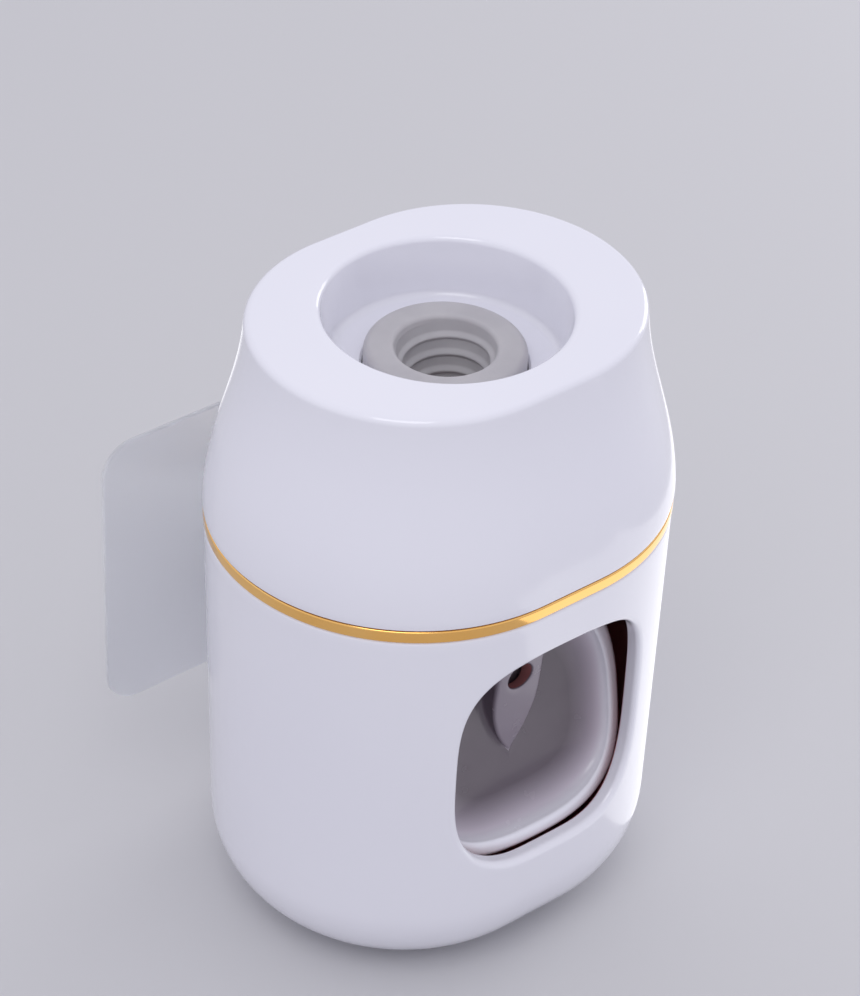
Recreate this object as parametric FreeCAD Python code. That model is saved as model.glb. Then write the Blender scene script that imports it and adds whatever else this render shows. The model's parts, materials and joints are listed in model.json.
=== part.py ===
import FreeCAD, Part
import math
import os

# Wall-hung toothpaste dispenser. Millimetres, +Z up, +Y into the wall, front facing -Y.
# The pieces are drawn from the centre of the cover's top face, with depths counted down from it.
# They are then moved so that the origin is the centre of the adhesive sheet's wall face.

V = FreeCAD.Vector
ORIGIN = V(0, 0, 0)
AXIS_X = V(1, 0, 0)
AXIS_Y = V(0, 1, 0)
AXIS_Z = V(0, 0, 1)

# Clearances and the overrun that every cut has beyond the face it leaves
overrun = 1.0
slide_clearance = 0.3
seat_clearance = 0.1
plug_clearance = 0.15
pin_clearance = 0.05
press_clearance = 0.02
join_tolerance = 0.00002

# Adhesive sheet and the hook plate bonded to it
sheet_width = 75.0
sheet_height = 48.6
sheet_thickness = 0.8
sheet_corner_radius = 5.5
sheet_centre_depth = 53.2
wall_gap = 1.6
hook_plate_width = 26.0
hook_plate_height = 30.0
hook_plate_thickness = 1.2
hook_plate_corner_radius = 4.0
hook_width = 8.0
hook_depth = 46.0
hook_neck_height = 2.5
hook_lip_height = 6.0
hook_lip_thickness = 1.8
hook_edge_radius = 0.6
lift_travel = 6.5

# Body: two half-round ends on a short flat
body_height = 103.0
flat_length = 10.3
top_radius = 24.7
belly_radius = 30.6
lower_setback = 0.2
base_draft = 1.2
base_round = 15.5
shell_wall = 2.5
shell_edge_radius = 0.6

# Gold band in the seam, and the neck of the lower shell that it sits round
ring_depth = 33.0
ring_height = 2.0
ring_setback = 0.1
ring_thickness = 1.5
ring_edge_radius = 0.5
seam_gap = 0.3
neck_height = 5.0
neck_wall = 1.4

# Cover with its well; the two shares shape the bell between the top edge and the seam
cover_wall = 2.2
top_wall = 2.4
top_edge_radius = 1.8
bell_depth_shares = (0.40, 0.65)
bell_swell_shares = (0.15, 0.97)
well_radius = 18.0
well_floor_radius = 17.2
well_depth = 9.5
well_rim_radius = 1.0
well_floor_round = 1.2
well_wall = 2.0

# Brush opening in the front
opening_half_width = 16.8
opening_half_height = 19.5
opening_head = 7.6
opening_edge_radius = 1.2
opening_power = 3.3
squircle_points = 28
mouth_match_share = 0.05

# Silicone plug with the socket for a tube's neck
plug_radius = 11.8
plug_top_depth = 6.5
plug_height = 12.5
plug_flange_radius = 14.5
plug_flange_thickness = 2.8
plug_edge_radius = 1.2
socket_mouth_radius = 7.5
socket_end_radius = 4.7
socket_lip_radius = 0.8

# Seat that carries the plug, with the spigot down to the pump
seat_wall = 1.8
seat_floor = 2.0
seat_rim_height = 4.0
seat_foot_radius = 7.8
seat_bore_radius = 3.2
seat_corner_radius = 1.0
spigot_radius = 6.0
spigot_length = 8.0
seal_groove_depth = 1.1
seal_groove_height = 1.6
seal_height = 2.6
retainer_lip = 1.6
retainer_edge_radius = 0.5

# Deck at the level of the seam
deck_thickness = 2.0
deck_drop = 2.0
deck_side_gap = 0.5
boss_radius = 3.4
boss_inset = 3.0
boss_height = 11.0
boss_angle = 37.0

# Hinge of the push plate
hinge_drop = 5.0
hinge_setback = 13.5
hinge_pin_radius = 1.25
lug_radius = 3.4
lug_width = 3.0
ear_width = 3.0
ear_outer = 15.6
rest_tilt = 9.4
push_angle = 12.0

# Push plate, measured from the hinge axis with the plate upright
plate_side_lap = 2.7
plate_head_lap = 3.0
plate_foot_setback = 1.9
plate_lower = 4.3
plate_head_power = 2.3
plate_foot_power = 3.25
plate_rim_forward = 5.4
plate_rim_width = 2.6
plate_rim_height = 4.5
plate_rim_edge = 0.8
plate_bow_radius = 70.0
plate_wall = 2.0
dish_depth = 5.9
dish_floor_share = 0.56
dish_curve_power = 2.6
dish_stations = 5
nose_half_width = 4.2
nose_top_drop = 10.4
nose_shoulder_drop = 24.0
nose_tip_drop = 31.2
nose_face_recess = 1.6
nose_top_radius = 3.0
nose_side_radius = 12.0
nose_tip_radius = 0.6
paste_hole_radius = 2.2
paste_hole_drop = 16.0
nose_wall = 2.4
spout_room_radius = 3.3
stop_radius = 1.2
stop_forward = 7.0
ear_heel = 18.0
ear_toe = 12.0

# Presser pad on the plate, plunger and diaphragm pump behind it
press_lower = 9.9
pad_nose_radius = 4.5
pad_height = 2.9
pad_boss_radius = 5.0
pad_boss_stand = 0.4
pad_stem_radius = 1.5
pad_stem_length = 1.4
plunger_radius = 7.0
plunger_head = 2.0
plunger_stem_radius = 3.2
plunger_stem_length = 2.6
plunger_edge_radius = 0.6
dome_height = 4.8
dome_wall = 1.4
dome_hub_radius = 5.2
dome_shoulder_radius = 8.6
dome_root_radius = 10.4
dome_round = 1.0
flange_thickness = 1.2
clamp_inner_radius = 10.9
clamp_thickness = 2.0
clamp_edge_radius = 0.5
cup_radius = 14.6
cup_bore_radius = 10.2
cup_length = 18.0
cup_end_wall = 3.0
cup_back_radius = 2.0

# Valve block of the pump chamber
block_radius = 7.5
block_flange_radius = 12.5
block_flange_thickness = 3.5
feed_bore_radius = 2.5
feed_bore_back = 3.2
neck_pillar_radius = 5.5
neck_pillar_back = 4.2
cage_thickness = 1.5
cage_hole_radius = 1.4
cage_hole_reach = 3.6
cage_holes = 4
valve_radius = 4.6
valve_thickness = 1.2
valve_edge_radius = 0.4
valve_stud_radius = 2.0
valve_stud_height = 0.8
valve_travel = 1.5
outlet_boss_radius = 4.9
outlet_boss_stand = 0.5
outlet_bore_radius = 2.0
spout_flange_radius = 4.7
spout_flange_thickness = 1.2
spout_root_radius = 2.6
spout_tip_radius = 2.0
spout_bore_radius = 1.2
bill_flange_radius = 3.5
bill_flange_thickness = 0.9
bill_radius = 1.9
bill_lip_radius = 0.8
bill_length = 2.2
bill_wall = 0.5

# Fasteners and springs
deck_screw_radius = 1.4
deck_screw_head_radius = 2.4
deck_screw_head_height = 1.7
deck_screw_length = 9.0
small_screw_radius = 0.9
small_screw_head_radius = 1.65
small_screw_head_height = 1.3
small_screw_length = 6.0
clamp_screws_count = 4
chamber_screw_reach = 10.2
chamber_screws_count = 4
spring_wire_radius = 0.35
spring_coil_radius = 2.2
spring_pitch = 1.15
spring_turns = 3
spring_turn_steps = 4
spring_inset = 1.6
spring_leg_angle = 5.0
spring_leg_length = 12.0

# Places that follow from the sizes above
half_flat = flat_length / 2
sheet_front = belly_radius + wall_gap
sheet_back = sheet_front + sheet_thickness
lower_radius = belly_radius - lower_setback
base_radius = lower_radius - base_draft
ring_radius = belly_radius - ring_setback
shoulder_depth = ring_depth + ring_height / 2
neck_top_depth = shoulder_depth - neck_height
cover_depth = ring_depth - ring_height / 2 - seam_gap
neck_radius = ring_radius - ring_thickness - seat_clearance
neck_inner_radius = neck_radius - neck_wall
boss_reach = neck_inner_radius - boss_inset
opening_depth = shoulder_depth + opening_head + opening_half_height
hinge_depth = shoulder_depth + hinge_drop
hinge_forward = neck_inner_radius - hinge_setback
plate_half_width = opening_half_width + plate_side_lap
plate_head = opening_half_height + plate_head_lap
plate_foot = opening_half_height - plate_foot_setback
plate_drop = opening_depth - hinge_depth + plate_lower
press_drop = plate_drop + press_lower
deck_top_depth = neck_top_depth + deck_drop
deck_under_depth = deck_top_depth + deck_thickness
plug_floor_depth = plug_top_depth + plug_height
flange_top_depth = plug_floor_depth - plug_flange_thickness
seat_inner_radius = plug_flange_radius + seat_clearance
seat_outer_radius = seat_inner_radius + seat_wall
seat_rim_depth = plug_floor_depth - seat_rim_height
spigot_end_depth = deck_top_depth + spigot_length
pocket_radius = spigot_radius + seat_clearance
valve_floor_depth = spigot_end_depth + valve_travel + valve_thickness + 2 * pin_clearance
cage_floor_depth = valve_floor_depth + cage_thickness
plate_back = dish_depth - plate_rim_forward + plate_wall
pad_seat_back = plate_back + pad_boss_stand


def on_plate(back, drop):
    """Y and Z at rest of a point of the plate, given behind and below the hinge axis on the upright plate."""
    tilt = math.radians(rest_tilt)
    y = -hinge_forward + back * math.cos(tilt) - drop * math.sin(tilt)
    z = -hinge_depth - drop * math.cos(tilt) - back * math.sin(tilt)
    return y, z


def pushed_y(back, drop):
    """Y of a point of the plate when it is pushed right back."""
    swing = math.radians(push_angle - rest_tilt)
    return -hinge_forward + back * math.cos(swing) + drop * math.sin(swing)


pad_tip_back = plate_back + pad_height
pad_centre_back = pad_tip_back - pad_nose_radius
pad_centre_y, pump_z = on_plate(pad_centre_back, press_drop)
plunger_front = pad_centre_y + pad_nose_radius + slide_clearance
plunger_back = plunger_front + plunger_head + plunger_stem_length
hub_front = plunger_back + pin_clearance
flange_front = hub_front + dome_height
cup_front = flange_front + flange_thickness
clamp_front = flange_front - clamp_thickness
outlet_z = on_plate(plate_back, paste_hole_drop)[1]
outlet_front = -block_radius - outlet_boss_stand
spout_front = outlet_front - spout_flange_thickness
spout_tip = pushed_y(nose_wall - plate_rim_forward + nose_face_recess, paste_hole_drop) + slide_clearance


def outline(points):
    """Closed face in the XZ plane through (x, z, corner radius) points, its corners rounded by arcs."""
    corners = [V(x, 0, z) for x, z, radius in points]
    count = len(corners)
    edges = []
    spans = []
    for i, (x, z, radius) in enumerate(points):
        here = corners[i]
        if radius == 0:
            spans.append((here, here))
            continue
        to_last = (corners[i - 1] - here).normalize()
        to_next = (corners[(i + 1) % count] - here).normalize()
        half = to_last.getAngle(to_next) / 2
        start = here + to_last * (radius / math.tan(half))
        end = here + to_next * (radius / math.tan(half))
        middle = here + (to_last + to_next).normalize() * (radius / math.sin(half) - radius)
        edges.append(Part.Arc(start, middle, end).toShape())
        spans.append((start, end))
    for i in range(count):
        leave = spans[i][1]
        arrive = spans[(i + 1) % count][0]
        if not leave.isEqual(arrive, join_tolerance):
            edges.append(Part.makeLine(leave, arrive))
    return Part.Face(Part.Wire(Part.__sortEdges__(edges)))


def spin(points):
    """Solid of (radius, z, corner radius) points turned about the Z axis."""
    return outline(points).revolve(ORIGIN, AXIS_Z, 360)


def spin_y(points, z):
    """Solid of (radius, y, corner radius) points turned about a line along Y at height z."""
    solid = spin(points)
    solid.rotate(ORIGIN, AXIS_X, -90)
    solid.translate(V(0, 0, z))
    return solid


def stadium(face):
    """Solid of a face in the XZ plane carried round the two half-round ends and the flats between them."""
    section = face.copy()
    section.rotate(ORIGIN, AXIS_Z, -90)
    section.translate(V(half_flat, 0, 0))
    right = section.revolve(V(half_flat, 0, 0), AXIS_Z, 180)
    front = section.extrude(V(-flat_length, 0, 0))
    left = right.mirror(ORIGIN, AXIS_X)
    back = front.mirror(ORIGIN, AXIS_Y)
    return front.fuse([back, right, left]).removeSplitter()


def bell(radius, depth, edge, swell_radius, swell_depth):
    """Half section of the cover's form: flat top, rounded edge and one curve that swells down to the seam."""
    top = V(0, 0, -depth)
    edge_start = V(radius - edge, 0, -depth)
    edge_end = V(radius, 0, -depth - edge)
    centre = V(radius - edge, 0, -depth - edge)
    edge_middle = centre + V(edge, 0, edge).normalize() * edge
    foot = V(swell_radius, 0, -swell_depth)
    drop = foot.z - edge_end.z
    swell = foot.x - edge_end.x
    poles = [edge_end]
    for depth_share, swell_share in zip(bell_depth_shares, bell_swell_shares):
        poles.append(edge_end + V(swell * swell_share, 0, drop * depth_share))
    poles.append(foot)
    curve = Part.BezierCurve()
    curve.setPoles(poles)
    axis_foot = V(0, 0, -swell_depth)
    edges = [
        Part.makeLine(top, edge_start),
        Part.Arc(edge_start, edge_middle, edge_end).toShape(),
        curve.toShape(),
        Part.makeLine(foot, axis_foot),
        Part.makeLine(axis_foot, top),
    ]
    return Part.Face(Part.Wire(edges))


def squircle(half_width, foot, head, y, z):
    """Superellipse that faces along Y; foot and head give its height and power below and above z."""
    points = []
    for i in range(squircle_points):
        angle = 2 * math.pi * i / squircle_points - math.pi / 2
        height, power = foot if math.sin(angle) < 0 else head
        wide = abs(math.cos(angle) / half_width) ** power
        high = abs(math.sin(angle) / height) ** power
        reach = (wide + high) ** (-1 / power)
        points.append(V(reach * math.cos(angle), y, z + reach * math.sin(angle)))
    curve = Part.BSplineCurve()
    curve.interpolate(Points=points, PeriodicFlag=True)
    return Part.Wire(curve.toShape())


def slab(width, height, corner, y_front, y_back, z):
    """Upright plate with rounded corners, centred on x = 0 and height z."""
    points = []
    for side_x, side_z in ((-1, -1), (1, -1), (1, 1), (-1, 1)):
        points.append((side_x * width / 2, z + side_z * height / 2, corner))
    face = outline(points)
    face.translate(V(0, y_front, 0))
    return face.extrude(V(0, y_back - y_front, 0))


def block(x_size, y_low, y_high, z_low, z_high):
    """Plain box centred on x = 0."""
    return Part.makeBox(x_size, y_high - y_low, z_high - z_low, V(-x_size / 2, y_low, z_low))


def rod(radius, start, end):
    """Round bar between two points."""
    return Part.makeCylinder(radius, (end - start).Length, start, end - start)


def ring_places(reach, count, z):
    """Places of a ring of fasteners about the vertical axis, set between the main directions."""
    places = []
    for i in range(count):
        angle = math.pi * (2 * i + 1) / count
        places.append(V(reach * math.cos(angle), reach * math.sin(angle), z))
    return places


def screw(place, direction, shank_radius, length, head_radius, head_height):
    """Pan-head screw whose head seats at a place, with its shank along a direction."""
    body = spin([
        (0, length, 0), (shank_radius, length, 0), (shank_radius, 0, 0), (head_radius, 0, 0),
        (head_radius, -head_height, head_height / 2), (0, -head_height, 0),
    ])
    body.Placement = FreeCAD.Placement(place, FreeCAD.Rotation(AXIS_Z, direction))
    return body


def deck_boss_places():
    """Tops of the four bosses inside the lower shell."""
    angle = math.radians(boss_angle)
    x = half_flat + boss_reach * math.cos(angle)
    y = boss_reach * math.sin(angle)
    return [V(sx * x, sy * y, -deck_under_depth) for sx in (-1, 1) for sy in (-1, 1)]


def clamp_screw_places():
    """Seats of the screws on the front of the clamp ring."""
    reach = (clamp_inner_radius + cup_radius) / 2
    return [V(p.x, clamp_front, pump_z + p.y) for p in ring_places(reach, clamp_screws_count, 0)]


def adhesive_sheet():
    return slab(sheet_width, sheet_height, sheet_corner_radius, sheet_front, sheet_back, -sheet_centre_depth)


def inner_back_radius(depth):
    """Inside radius of the lower shell at a depth."""
    share = (depth - shoulder_depth) / (body_height - shell_wall - shoulder_depth)
    return neck_inner_radius + (base_radius - shell_wall - neck_inner_radius) * share


def hook_plate():
    front = sheet_front - hook_plate_thickness
    plate = slab(hook_plate_width, hook_plate_height, hook_plate_corner_radius, front, sheet_front,
                 -sheet_centre_depth)
    lip_back = inner_back_radius(hook_depth + hook_neck_height) - slide_clearance
    lip_front = lip_back - hook_lip_thickness
    low = -hook_depth - hook_neck_height
    neck = block(hook_width, lip_front, sheet_front, low, -hook_depth)
    lip = slab(hook_width, hook_neck_height + hook_lip_height, hook_edge_radius, lip_front, lip_back,
               low + (hook_neck_height + hook_lip_height) / 2)
    return plate.fuse([neck, lip]).removeSplitter()


def on_mouth_rim(edge):
    """Whether an edge lies on the outline of the brush opening, at the outside of the shell."""
    first, last = edge.ParameterRange
    for point in (edge.valueAt(first), edge.valueAt((first + last) / 2), edge.valueAt(last)):
        wide = abs(point.x / opening_half_width) ** opening_power
        high = abs((point.z + opening_depth) / opening_half_height) ** opening_power
        reach = math.hypot(max(abs(point.x) - half_flat, 0), point.y)
        outside = reach > inner_back_radius(-point.z) + shell_wall / 2
        if point.y > 0 or not outside or abs(wide + high - 1) > mouth_match_share:
            return False
    return True


def lower_shell():
    floor = -body_height + shell_wall
    shell = stadium(outline([
        (neck_inner_radius, -neck_top_depth, 0), (neck_radius, -neck_top_depth, 0),
        (neck_radius, -shoulder_depth, 0), (lower_radius, -shoulder_depth, shell_edge_radius),
        (base_radius, -body_height, base_round), (0, -body_height, 0), (0, floor, 0),
        (base_radius - shell_wall, floor, base_round - shell_wall), (neck_inner_radius, -shoulder_depth, 0),
    ]))
    half = (opening_half_height, opening_power)
    mouth = Part.Face(squircle(opening_half_width, half, half, -belly_radius - overrun, -opening_depth))
    shell = shell.cut(mouth.extrude(V(0, belly_radius / 2, 0)))
    shell = shell.makeFillet(opening_edge_radius, [edge for edge in shell.Edges if on_mouth_rim(edge)])
    slot_low = -hook_depth - hook_neck_height - lift_travel - slide_clearance
    slot = block(hook_width + 2 * slide_clearance, inner_back_radius(hook_depth) - overrun,
                 lower_radius + overrun, slot_low, -hook_depth + seat_clearance)
    shell = shell.cut(slot)
    drop = V(0, 0, -boss_height)
    for place in deck_boss_places():
        shell = shell.fuse(rod(boss_radius, place, place + drop))
        shell = shell.cut(rod(deck_screw_radius, place, place + drop))
    return shell.removeSplitter()


def trim_ring():
    inner = ring_radius - ring_thickness
    low = -ring_depth - ring_height / 2
    high = -ring_depth + ring_height / 2
    return stadium(outline([
        (inner, low, 0), (ring_radius, low, ring_edge_radius), (ring_radius, high, ring_edge_radius),
        (inner, high, 0),
    ]))


def upper_shell():
    outer = stadium(bell(top_radius, 0, top_edge_radius, belly_radius, cover_depth))
    room = stadium(bell(top_radius - cover_wall, top_wall, top_edge_radius, belly_radius - cover_wall,
                        neck_top_depth - seat_clearance))
    skirt_radius = neck_radius + slide_clearance
    skirt = stadium(outline([
        (0, -cover_depth - overrun, 0), (skirt_radius, -cover_depth - overrun, 0),
        (skirt_radius, -neck_top_depth + seat_clearance, 0), (0, -neck_top_depth + seat_clearance, 0),
    ]))
    cup_bottom = -well_depth - well_wall
    cup = spin([
        (0, cup_bottom, 0), (well_floor_radius + well_wall, cup_bottom, well_floor_round),
        (well_radius + well_wall, -top_wall / 2, 0), (0, -top_wall / 2, 0),
    ])
    rim_radius = well_radius + 2 * well_rim_radius
    well = spin([
        (0, -well_depth, 0), (well_floor_radius, -well_depth, well_floor_round),
        (well_radius, 0, well_rim_radius), (rim_radius, 0, 0), (rim_radius, overrun, 0), (0, overrun, 0),
    ])
    hole = rod(plug_radius + plug_clearance, V(0, 0, cup_bottom - overrun), V(0, 0, 0))
    shell = outer.cut(room).cut(skirt).fuse(cup).cut(well).cut(hole)
    return shell.removeSplitter()


def inlet_plug():
    return spin([
        (socket_end_radius, -plug_floor_depth, 0), (plug_flange_radius, -plug_floor_depth, 0),
        (plug_flange_radius, -flange_top_depth, plug_edge_radius / 2), (plug_radius, -flange_top_depth, 0),
        (plug_radius, -plug_top_depth, plug_edge_radius),
        (socket_mouth_radius, -plug_top_depth, socket_lip_radius),
    ])


def plug_seat():
    floor_under = -plug_floor_depth - seat_floor
    groove_low = -spigot_end_depth + seal_height - seal_groove_height / 2
    groove_high = groove_low + seal_groove_height
    groove_radius = spigot_radius - seal_groove_depth
    return spin([
        (seat_bore_radius, -spigot_end_depth, 0), (spigot_radius, -spigot_end_depth, 0),
        (spigot_radius, groove_low, 0), (groove_radius, groove_low, 0),
        (groove_radius, groove_high, 0), (spigot_radius, groove_high, 0),
        (spigot_radius, -deck_top_depth, 0), (seat_foot_radius, -deck_top_depth, 0),
        (seat_foot_radius, floor_under, 0), (seat_outer_radius, floor_under, seat_corner_radius),
        (seat_outer_radius, -seat_rim_depth, 0), (seat_inner_radius, -seat_rim_depth, 0),
        (seat_inner_radius, -plug_floor_depth, 0), (seat_bore_radius, -plug_floor_depth, 0),
    ])


def plug_retainer():
    inner = plug_radius + slide_clearance
    lip = seat_inner_radius - seat_clearance
    top = -seat_rim_depth + retainer_lip
    return spin([
        (inner, -flange_top_depth, 0), (lip, -flange_top_depth, 0), (lip, -seat_rim_depth, 0),
        (seat_outer_radius, -seat_rim_depth, 0), (seat_outer_radius, top, retainer_edge_radius),
        (inner, top, retainer_edge_radius),
    ])


def inlet_seal():
    minor = (pocket_radius - spigot_radius + seal_groove_depth) / 2 - press_clearance
    major = spigot_radius - seal_groove_depth + press_clearance + minor
    return Part.makeTorus(major, minor, V(0, 0, -spigot_end_depth + seal_height))


def inlet_valve():
    floor = -valve_floor_depth + pin_clearance
    face = floor + valve_thickness
    return spin([
        (0, floor, 0), (valve_radius, floor, 0), (valve_radius, face, valve_edge_radius),
        (valve_stud_radius, face, 0), (valve_stud_radius, face + valve_stud_height, valve_stud_height / 2),
        (0, face + valve_stud_height, 0),
    ])


def valve_cage():
    radius = pocket_radius - seat_clearance
    cage = rod(radius, V(0, 0, -cage_floor_depth), V(0, 0, -valve_floor_depth))
    for place in ring_places(cage_hole_reach, cage_holes, -cage_floor_depth - overrun):
        cage = cage.cut(rod(cage_hole_radius, place, place + V(0, 0, cage_thickness + 2 * overrun)))
    return cage


def core_deck():
    radius = neck_inner_radius - deck_side_gap
    deck = stadium(outline([
        (0, -deck_under_depth, 0), (radius, -deck_under_depth, 0), (radius, -deck_top_depth, 0),
        (0, -deck_top_depth, 0),
    ]))
    for side in (-1, 1):
        inner = side * (ear_outer + slide_clearance)
        outer = inner + side * lug_width
        low_x = min(inner, outer)
        leg = Part.makeBox(lug_width, 2 * lug_radius, hinge_depth - deck_under_depth,
                           V(low_x, -hinge_forward - lug_radius, -hinge_depth))
        eye = rod(lug_radius, V(inner, -hinge_forward, -hinge_depth), V(outer, -hinge_forward, -hinge_depth))
        deck = deck.fuse([leg, eye])
    reach = ear_outer + lug_width + overrun
    pin_hole = rod(hinge_pin_radius + press_clearance, V(-reach, -hinge_forward, -hinge_depth),
                   V(reach, -hinge_forward, -hinge_depth))
    cuts = [pin_hole]
    below = V(0, 0, -deck_thickness - 2 * overrun)
    for place in deck_boss_places():
        top = V(place.x, place.y, -deck_top_depth + overrun)
        cuts.append(rod(deck_screw_radius + seat_clearance, top, top + below))
    for top in ring_places(chamber_screw_reach, chamber_screws_count, -deck_top_depth + overrun):
        cuts.append(rod(small_screw_radius + seat_clearance, top, top + below))
    cuts.append(rod(pocket_radius, V(0, 0, -deck_top_depth + overrun), V(0, 0, -deck_under_depth - overrun)))
    return deck.cut(cuts).removeSplitter()


def deck_screws():
    screws = []
    for place in deck_boss_places():
        seat = V(place.x, place.y, -deck_top_depth)
        screws.append(screw(seat, -AXIS_Z, deck_screw_radius - press_clearance, deck_screw_length,
                            deck_screw_head_radius, deck_screw_head_height))
    return Part.makeCompound(screws)


def chamber_screws():
    screws = []
    for seat in ring_places(chamber_screw_reach, chamber_screws_count, -deck_top_depth):
        screws.append(screw(seat, -AXIS_Z, small_screw_radius - press_clearance,
                            deck_thickness + block_flange_thickness, small_screw_head_radius,
                            small_screw_head_height))
    return Part.makeCompound(screws)


def clamp_screws():
    screws = []
    for seat in clamp_screw_places():
        screws.append(screw(seat, AXIS_Y, small_screw_radius - press_clearance, small_screw_length,
                            small_screw_head_radius, small_screw_head_height))
    return Part.makeCompound(screws)


def pump_chamber():
    flange_low = -deck_under_depth - block_flange_thickness
    column_low = outlet_z - outlet_boss_radius
    flange = rod(block_flange_radius, V(0, 0, flange_low), V(0, 0, -deck_under_depth))
    column = rod(block_radius, V(0, 0, column_low), V(0, 0, flange_low))
    pillar = rod(neck_pillar_radius, V(0, neck_pillar_back, pump_z), V(0, neck_pillar_back, column_low))
    boss = rod(outlet_boss_radius, V(0, 0, outlet_z), V(0, outlet_front, outlet_z))
    cup = spin_y([
        (0, cup_front, 0), (cup_radius, cup_front, 0), (cup_radius, cup_front + cup_length, cup_back_radius),
        (0, cup_front + cup_length, 0),
    ], pump_z)
    body = flange.fuse([column, pillar, boss, cup])
    pocket = rod(pocket_radius, V(0, 0, -cage_floor_depth), V(0, 0, -deck_under_depth + overrun))
    feed = rod(feed_bore_radius, V(0, feed_bore_back, pump_z),
               V(0, feed_bore_back, -cage_floor_depth + overrun))
    outlet = rod(outlet_bore_radius, V(0, feed_bore_back, outlet_z), V(0, outlet_front - overrun, outlet_z))
    bill_seat = rod(bill_flange_radius + seat_clearance,
                    V(0, outlet_front + bill_flange_thickness + press_clearance, outlet_z),
                    V(0, outlet_front - overrun, outlet_z))
    bore = rod(cup_bore_radius, V(0, cup_front - overrun, pump_z),
               V(0, cup_front + cup_length - cup_end_wall, pump_z))
    cuts = [pocket, feed, outlet, bill_seat, bore]
    for place in ring_places(chamber_screw_reach, chamber_screws_count, flange_low - overrun):
        cuts.append(rod(small_screw_radius, place, V(place.x, place.y, -deck_under_depth + overrun)))
    for seat in clamp_screw_places():
        cuts.append(rod(small_screw_radius, seat, seat + V(0, small_screw_length + overrun, 0)))
    return body.cut(cuts).removeSplitter()


def diaphragm():
    dome = spin_y([
        (0, hub_front, 0), (dome_hub_radius, hub_front, dome_round),
        (dome_shoulder_radius, (hub_front + flange_front) / 2, dome_round),
        (dome_root_radius, flange_front, dome_round / 2), (cup_radius, flange_front, 0),
        (cup_radius, cup_front, 0), (dome_root_radius - dome_wall, cup_front, 0),
        (dome_shoulder_radius - dome_wall, (hub_front + flange_front) / 2 + dome_wall, dome_round),
        (dome_hub_radius - dome_wall / 2, hub_front + dome_wall, dome_round), (0, hub_front + dome_wall, 0),
    ], pump_z)
    reach = V(0, small_screw_length, 0)
    holes = [rod(small_screw_radius, seat, seat + reach) for seat in clamp_screw_places()]
    return dome.cut(holes)


def clamp_ring():
    ring = spin_y([
        (clamp_inner_radius, clamp_front, clamp_edge_radius), (cup_radius, clamp_front, clamp_edge_radius),
        (cup_radius, flange_front, 0), (clamp_inner_radius, flange_front, 0),
    ], pump_z)
    back = V(0, clamp_thickness + overrun, 0)
    holes = [rod(small_screw_radius, seat - AXIS_Y * overrun, seat + back) for seat in clamp_screw_places()]
    return ring.cut(holes)


def plunger():
    shoulder = plunger_front + plunger_head
    return spin_y([
        (0, plunger_front, 0), (plunger_radius, plunger_front, plunger_edge_radius),
        (plunger_radius, shoulder, plunger_edge_radius), (plunger_stem_radius, shoulder, 0),
        (plunger_stem_radius, plunger_back, 0), (0, plunger_back, 0),
    ], pump_z)


def outlet_valve():
    flange_back = outlet_front + bill_flange_thickness
    tip = outlet_front - bill_length
    return spin_y([
        (bill_radius - bill_wall, flange_back, 0), (bill_flange_radius, flange_back, 0),
        (bill_flange_radius, outlet_front, 0), (bill_radius, outlet_front, 0),
        (bill_lip_radius, tip, 0), (bill_lip_radius - bill_wall, tip, 0),
    ], outlet_z)


def spout():
    room = bill_radius + seat_clearance
    room_end = outlet_front - bill_length - seat_clearance
    return spin_y([
        (spout_bore_radius, spout_tip, 0), (spout_tip_radius, spout_tip, 0),
        (spout_root_radius, spout_front, 0),
        (spout_flange_radius, spout_front, 0), (spout_flange_radius, outlet_front, 0),
        (room, outlet_front, 0), (room, (outlet_front + room_end) / 2, 0), (spout_bore_radius, room_end, 0),
    ], outlet_z)


def hinge_pin():
    reach = ear_outer + slide_clearance + lug_width
    return rod(hinge_pin_radius, V(-reach, -hinge_forward, -hinge_depth),
               V(reach, -hinge_forward, -hinge_depth))


def plate_loop(inset, shrink, y):
    """Closed wire of the plate's outline, in from its edge by inset and then shrunk by a share."""
    foot = ((plate_foot - inset) * shrink, plate_foot_power)
    head = ((plate_head - inset) * shrink, plate_head_power)
    return squircle((plate_half_width - inset) * shrink, foot, head, y, -plate_drop)


def dish_wires(inset, front, depth):
    """Outlines of the plate from a rim to a floor, closing in slowly at first and fast near the floor."""
    wires = []
    for i in range(dish_stations):
        step = i / (dish_stations - 1)
        shrink = 1 - (1 - dish_floor_share) * step ** dish_curve_power
        wires.append(plate_loop(inset, shrink, front + depth * step))
    return wires


def nose():
    """Tapering nose of the plate: a long rounded outline cut off by a face that slopes back to the floor."""
    front = -plate_rim_forward + nose_face_recess
    floor = dish_depth - plate_rim_forward
    tip_face = outline([
        (-nose_half_width, -nose_top_drop, nose_top_radius),
        (nose_half_width, -nose_top_drop, nose_top_radius),
        (nose_half_width, -nose_shoulder_drop, nose_side_radius), (0, -nose_tip_drop, nose_tip_radius),
        (-nose_half_width, -nose_shoulder_drop, nose_side_radius),
    ])
    tip_face.translate(V(0, -plate_rim_forward - overrun, 0))
    post = tip_face.extrude(V(0, dish_depth + plate_wall / 2 + overrun, 0))
    slope = (floor - front) / (nose_tip_drop - paste_hole_drop)
    top_y = front - slope * (paste_hole_drop - nose_top_drop)
    side = Part.makePolygon([
        V(0, top_y, -nose_top_drop), V(0, floor, -nose_tip_drop), V(0, floor + plate_wall, -nose_tip_drop),
        V(0, floor + plate_wall, -nose_top_drop), V(0, top_y, -nose_top_drop),
    ])
    wedge = Part.Face(side).extrude(V(2 * nose_half_width, 0, 0))
    wedge.translate(V(-nose_half_width, 0, 0))
    return post.common(wedge)


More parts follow.
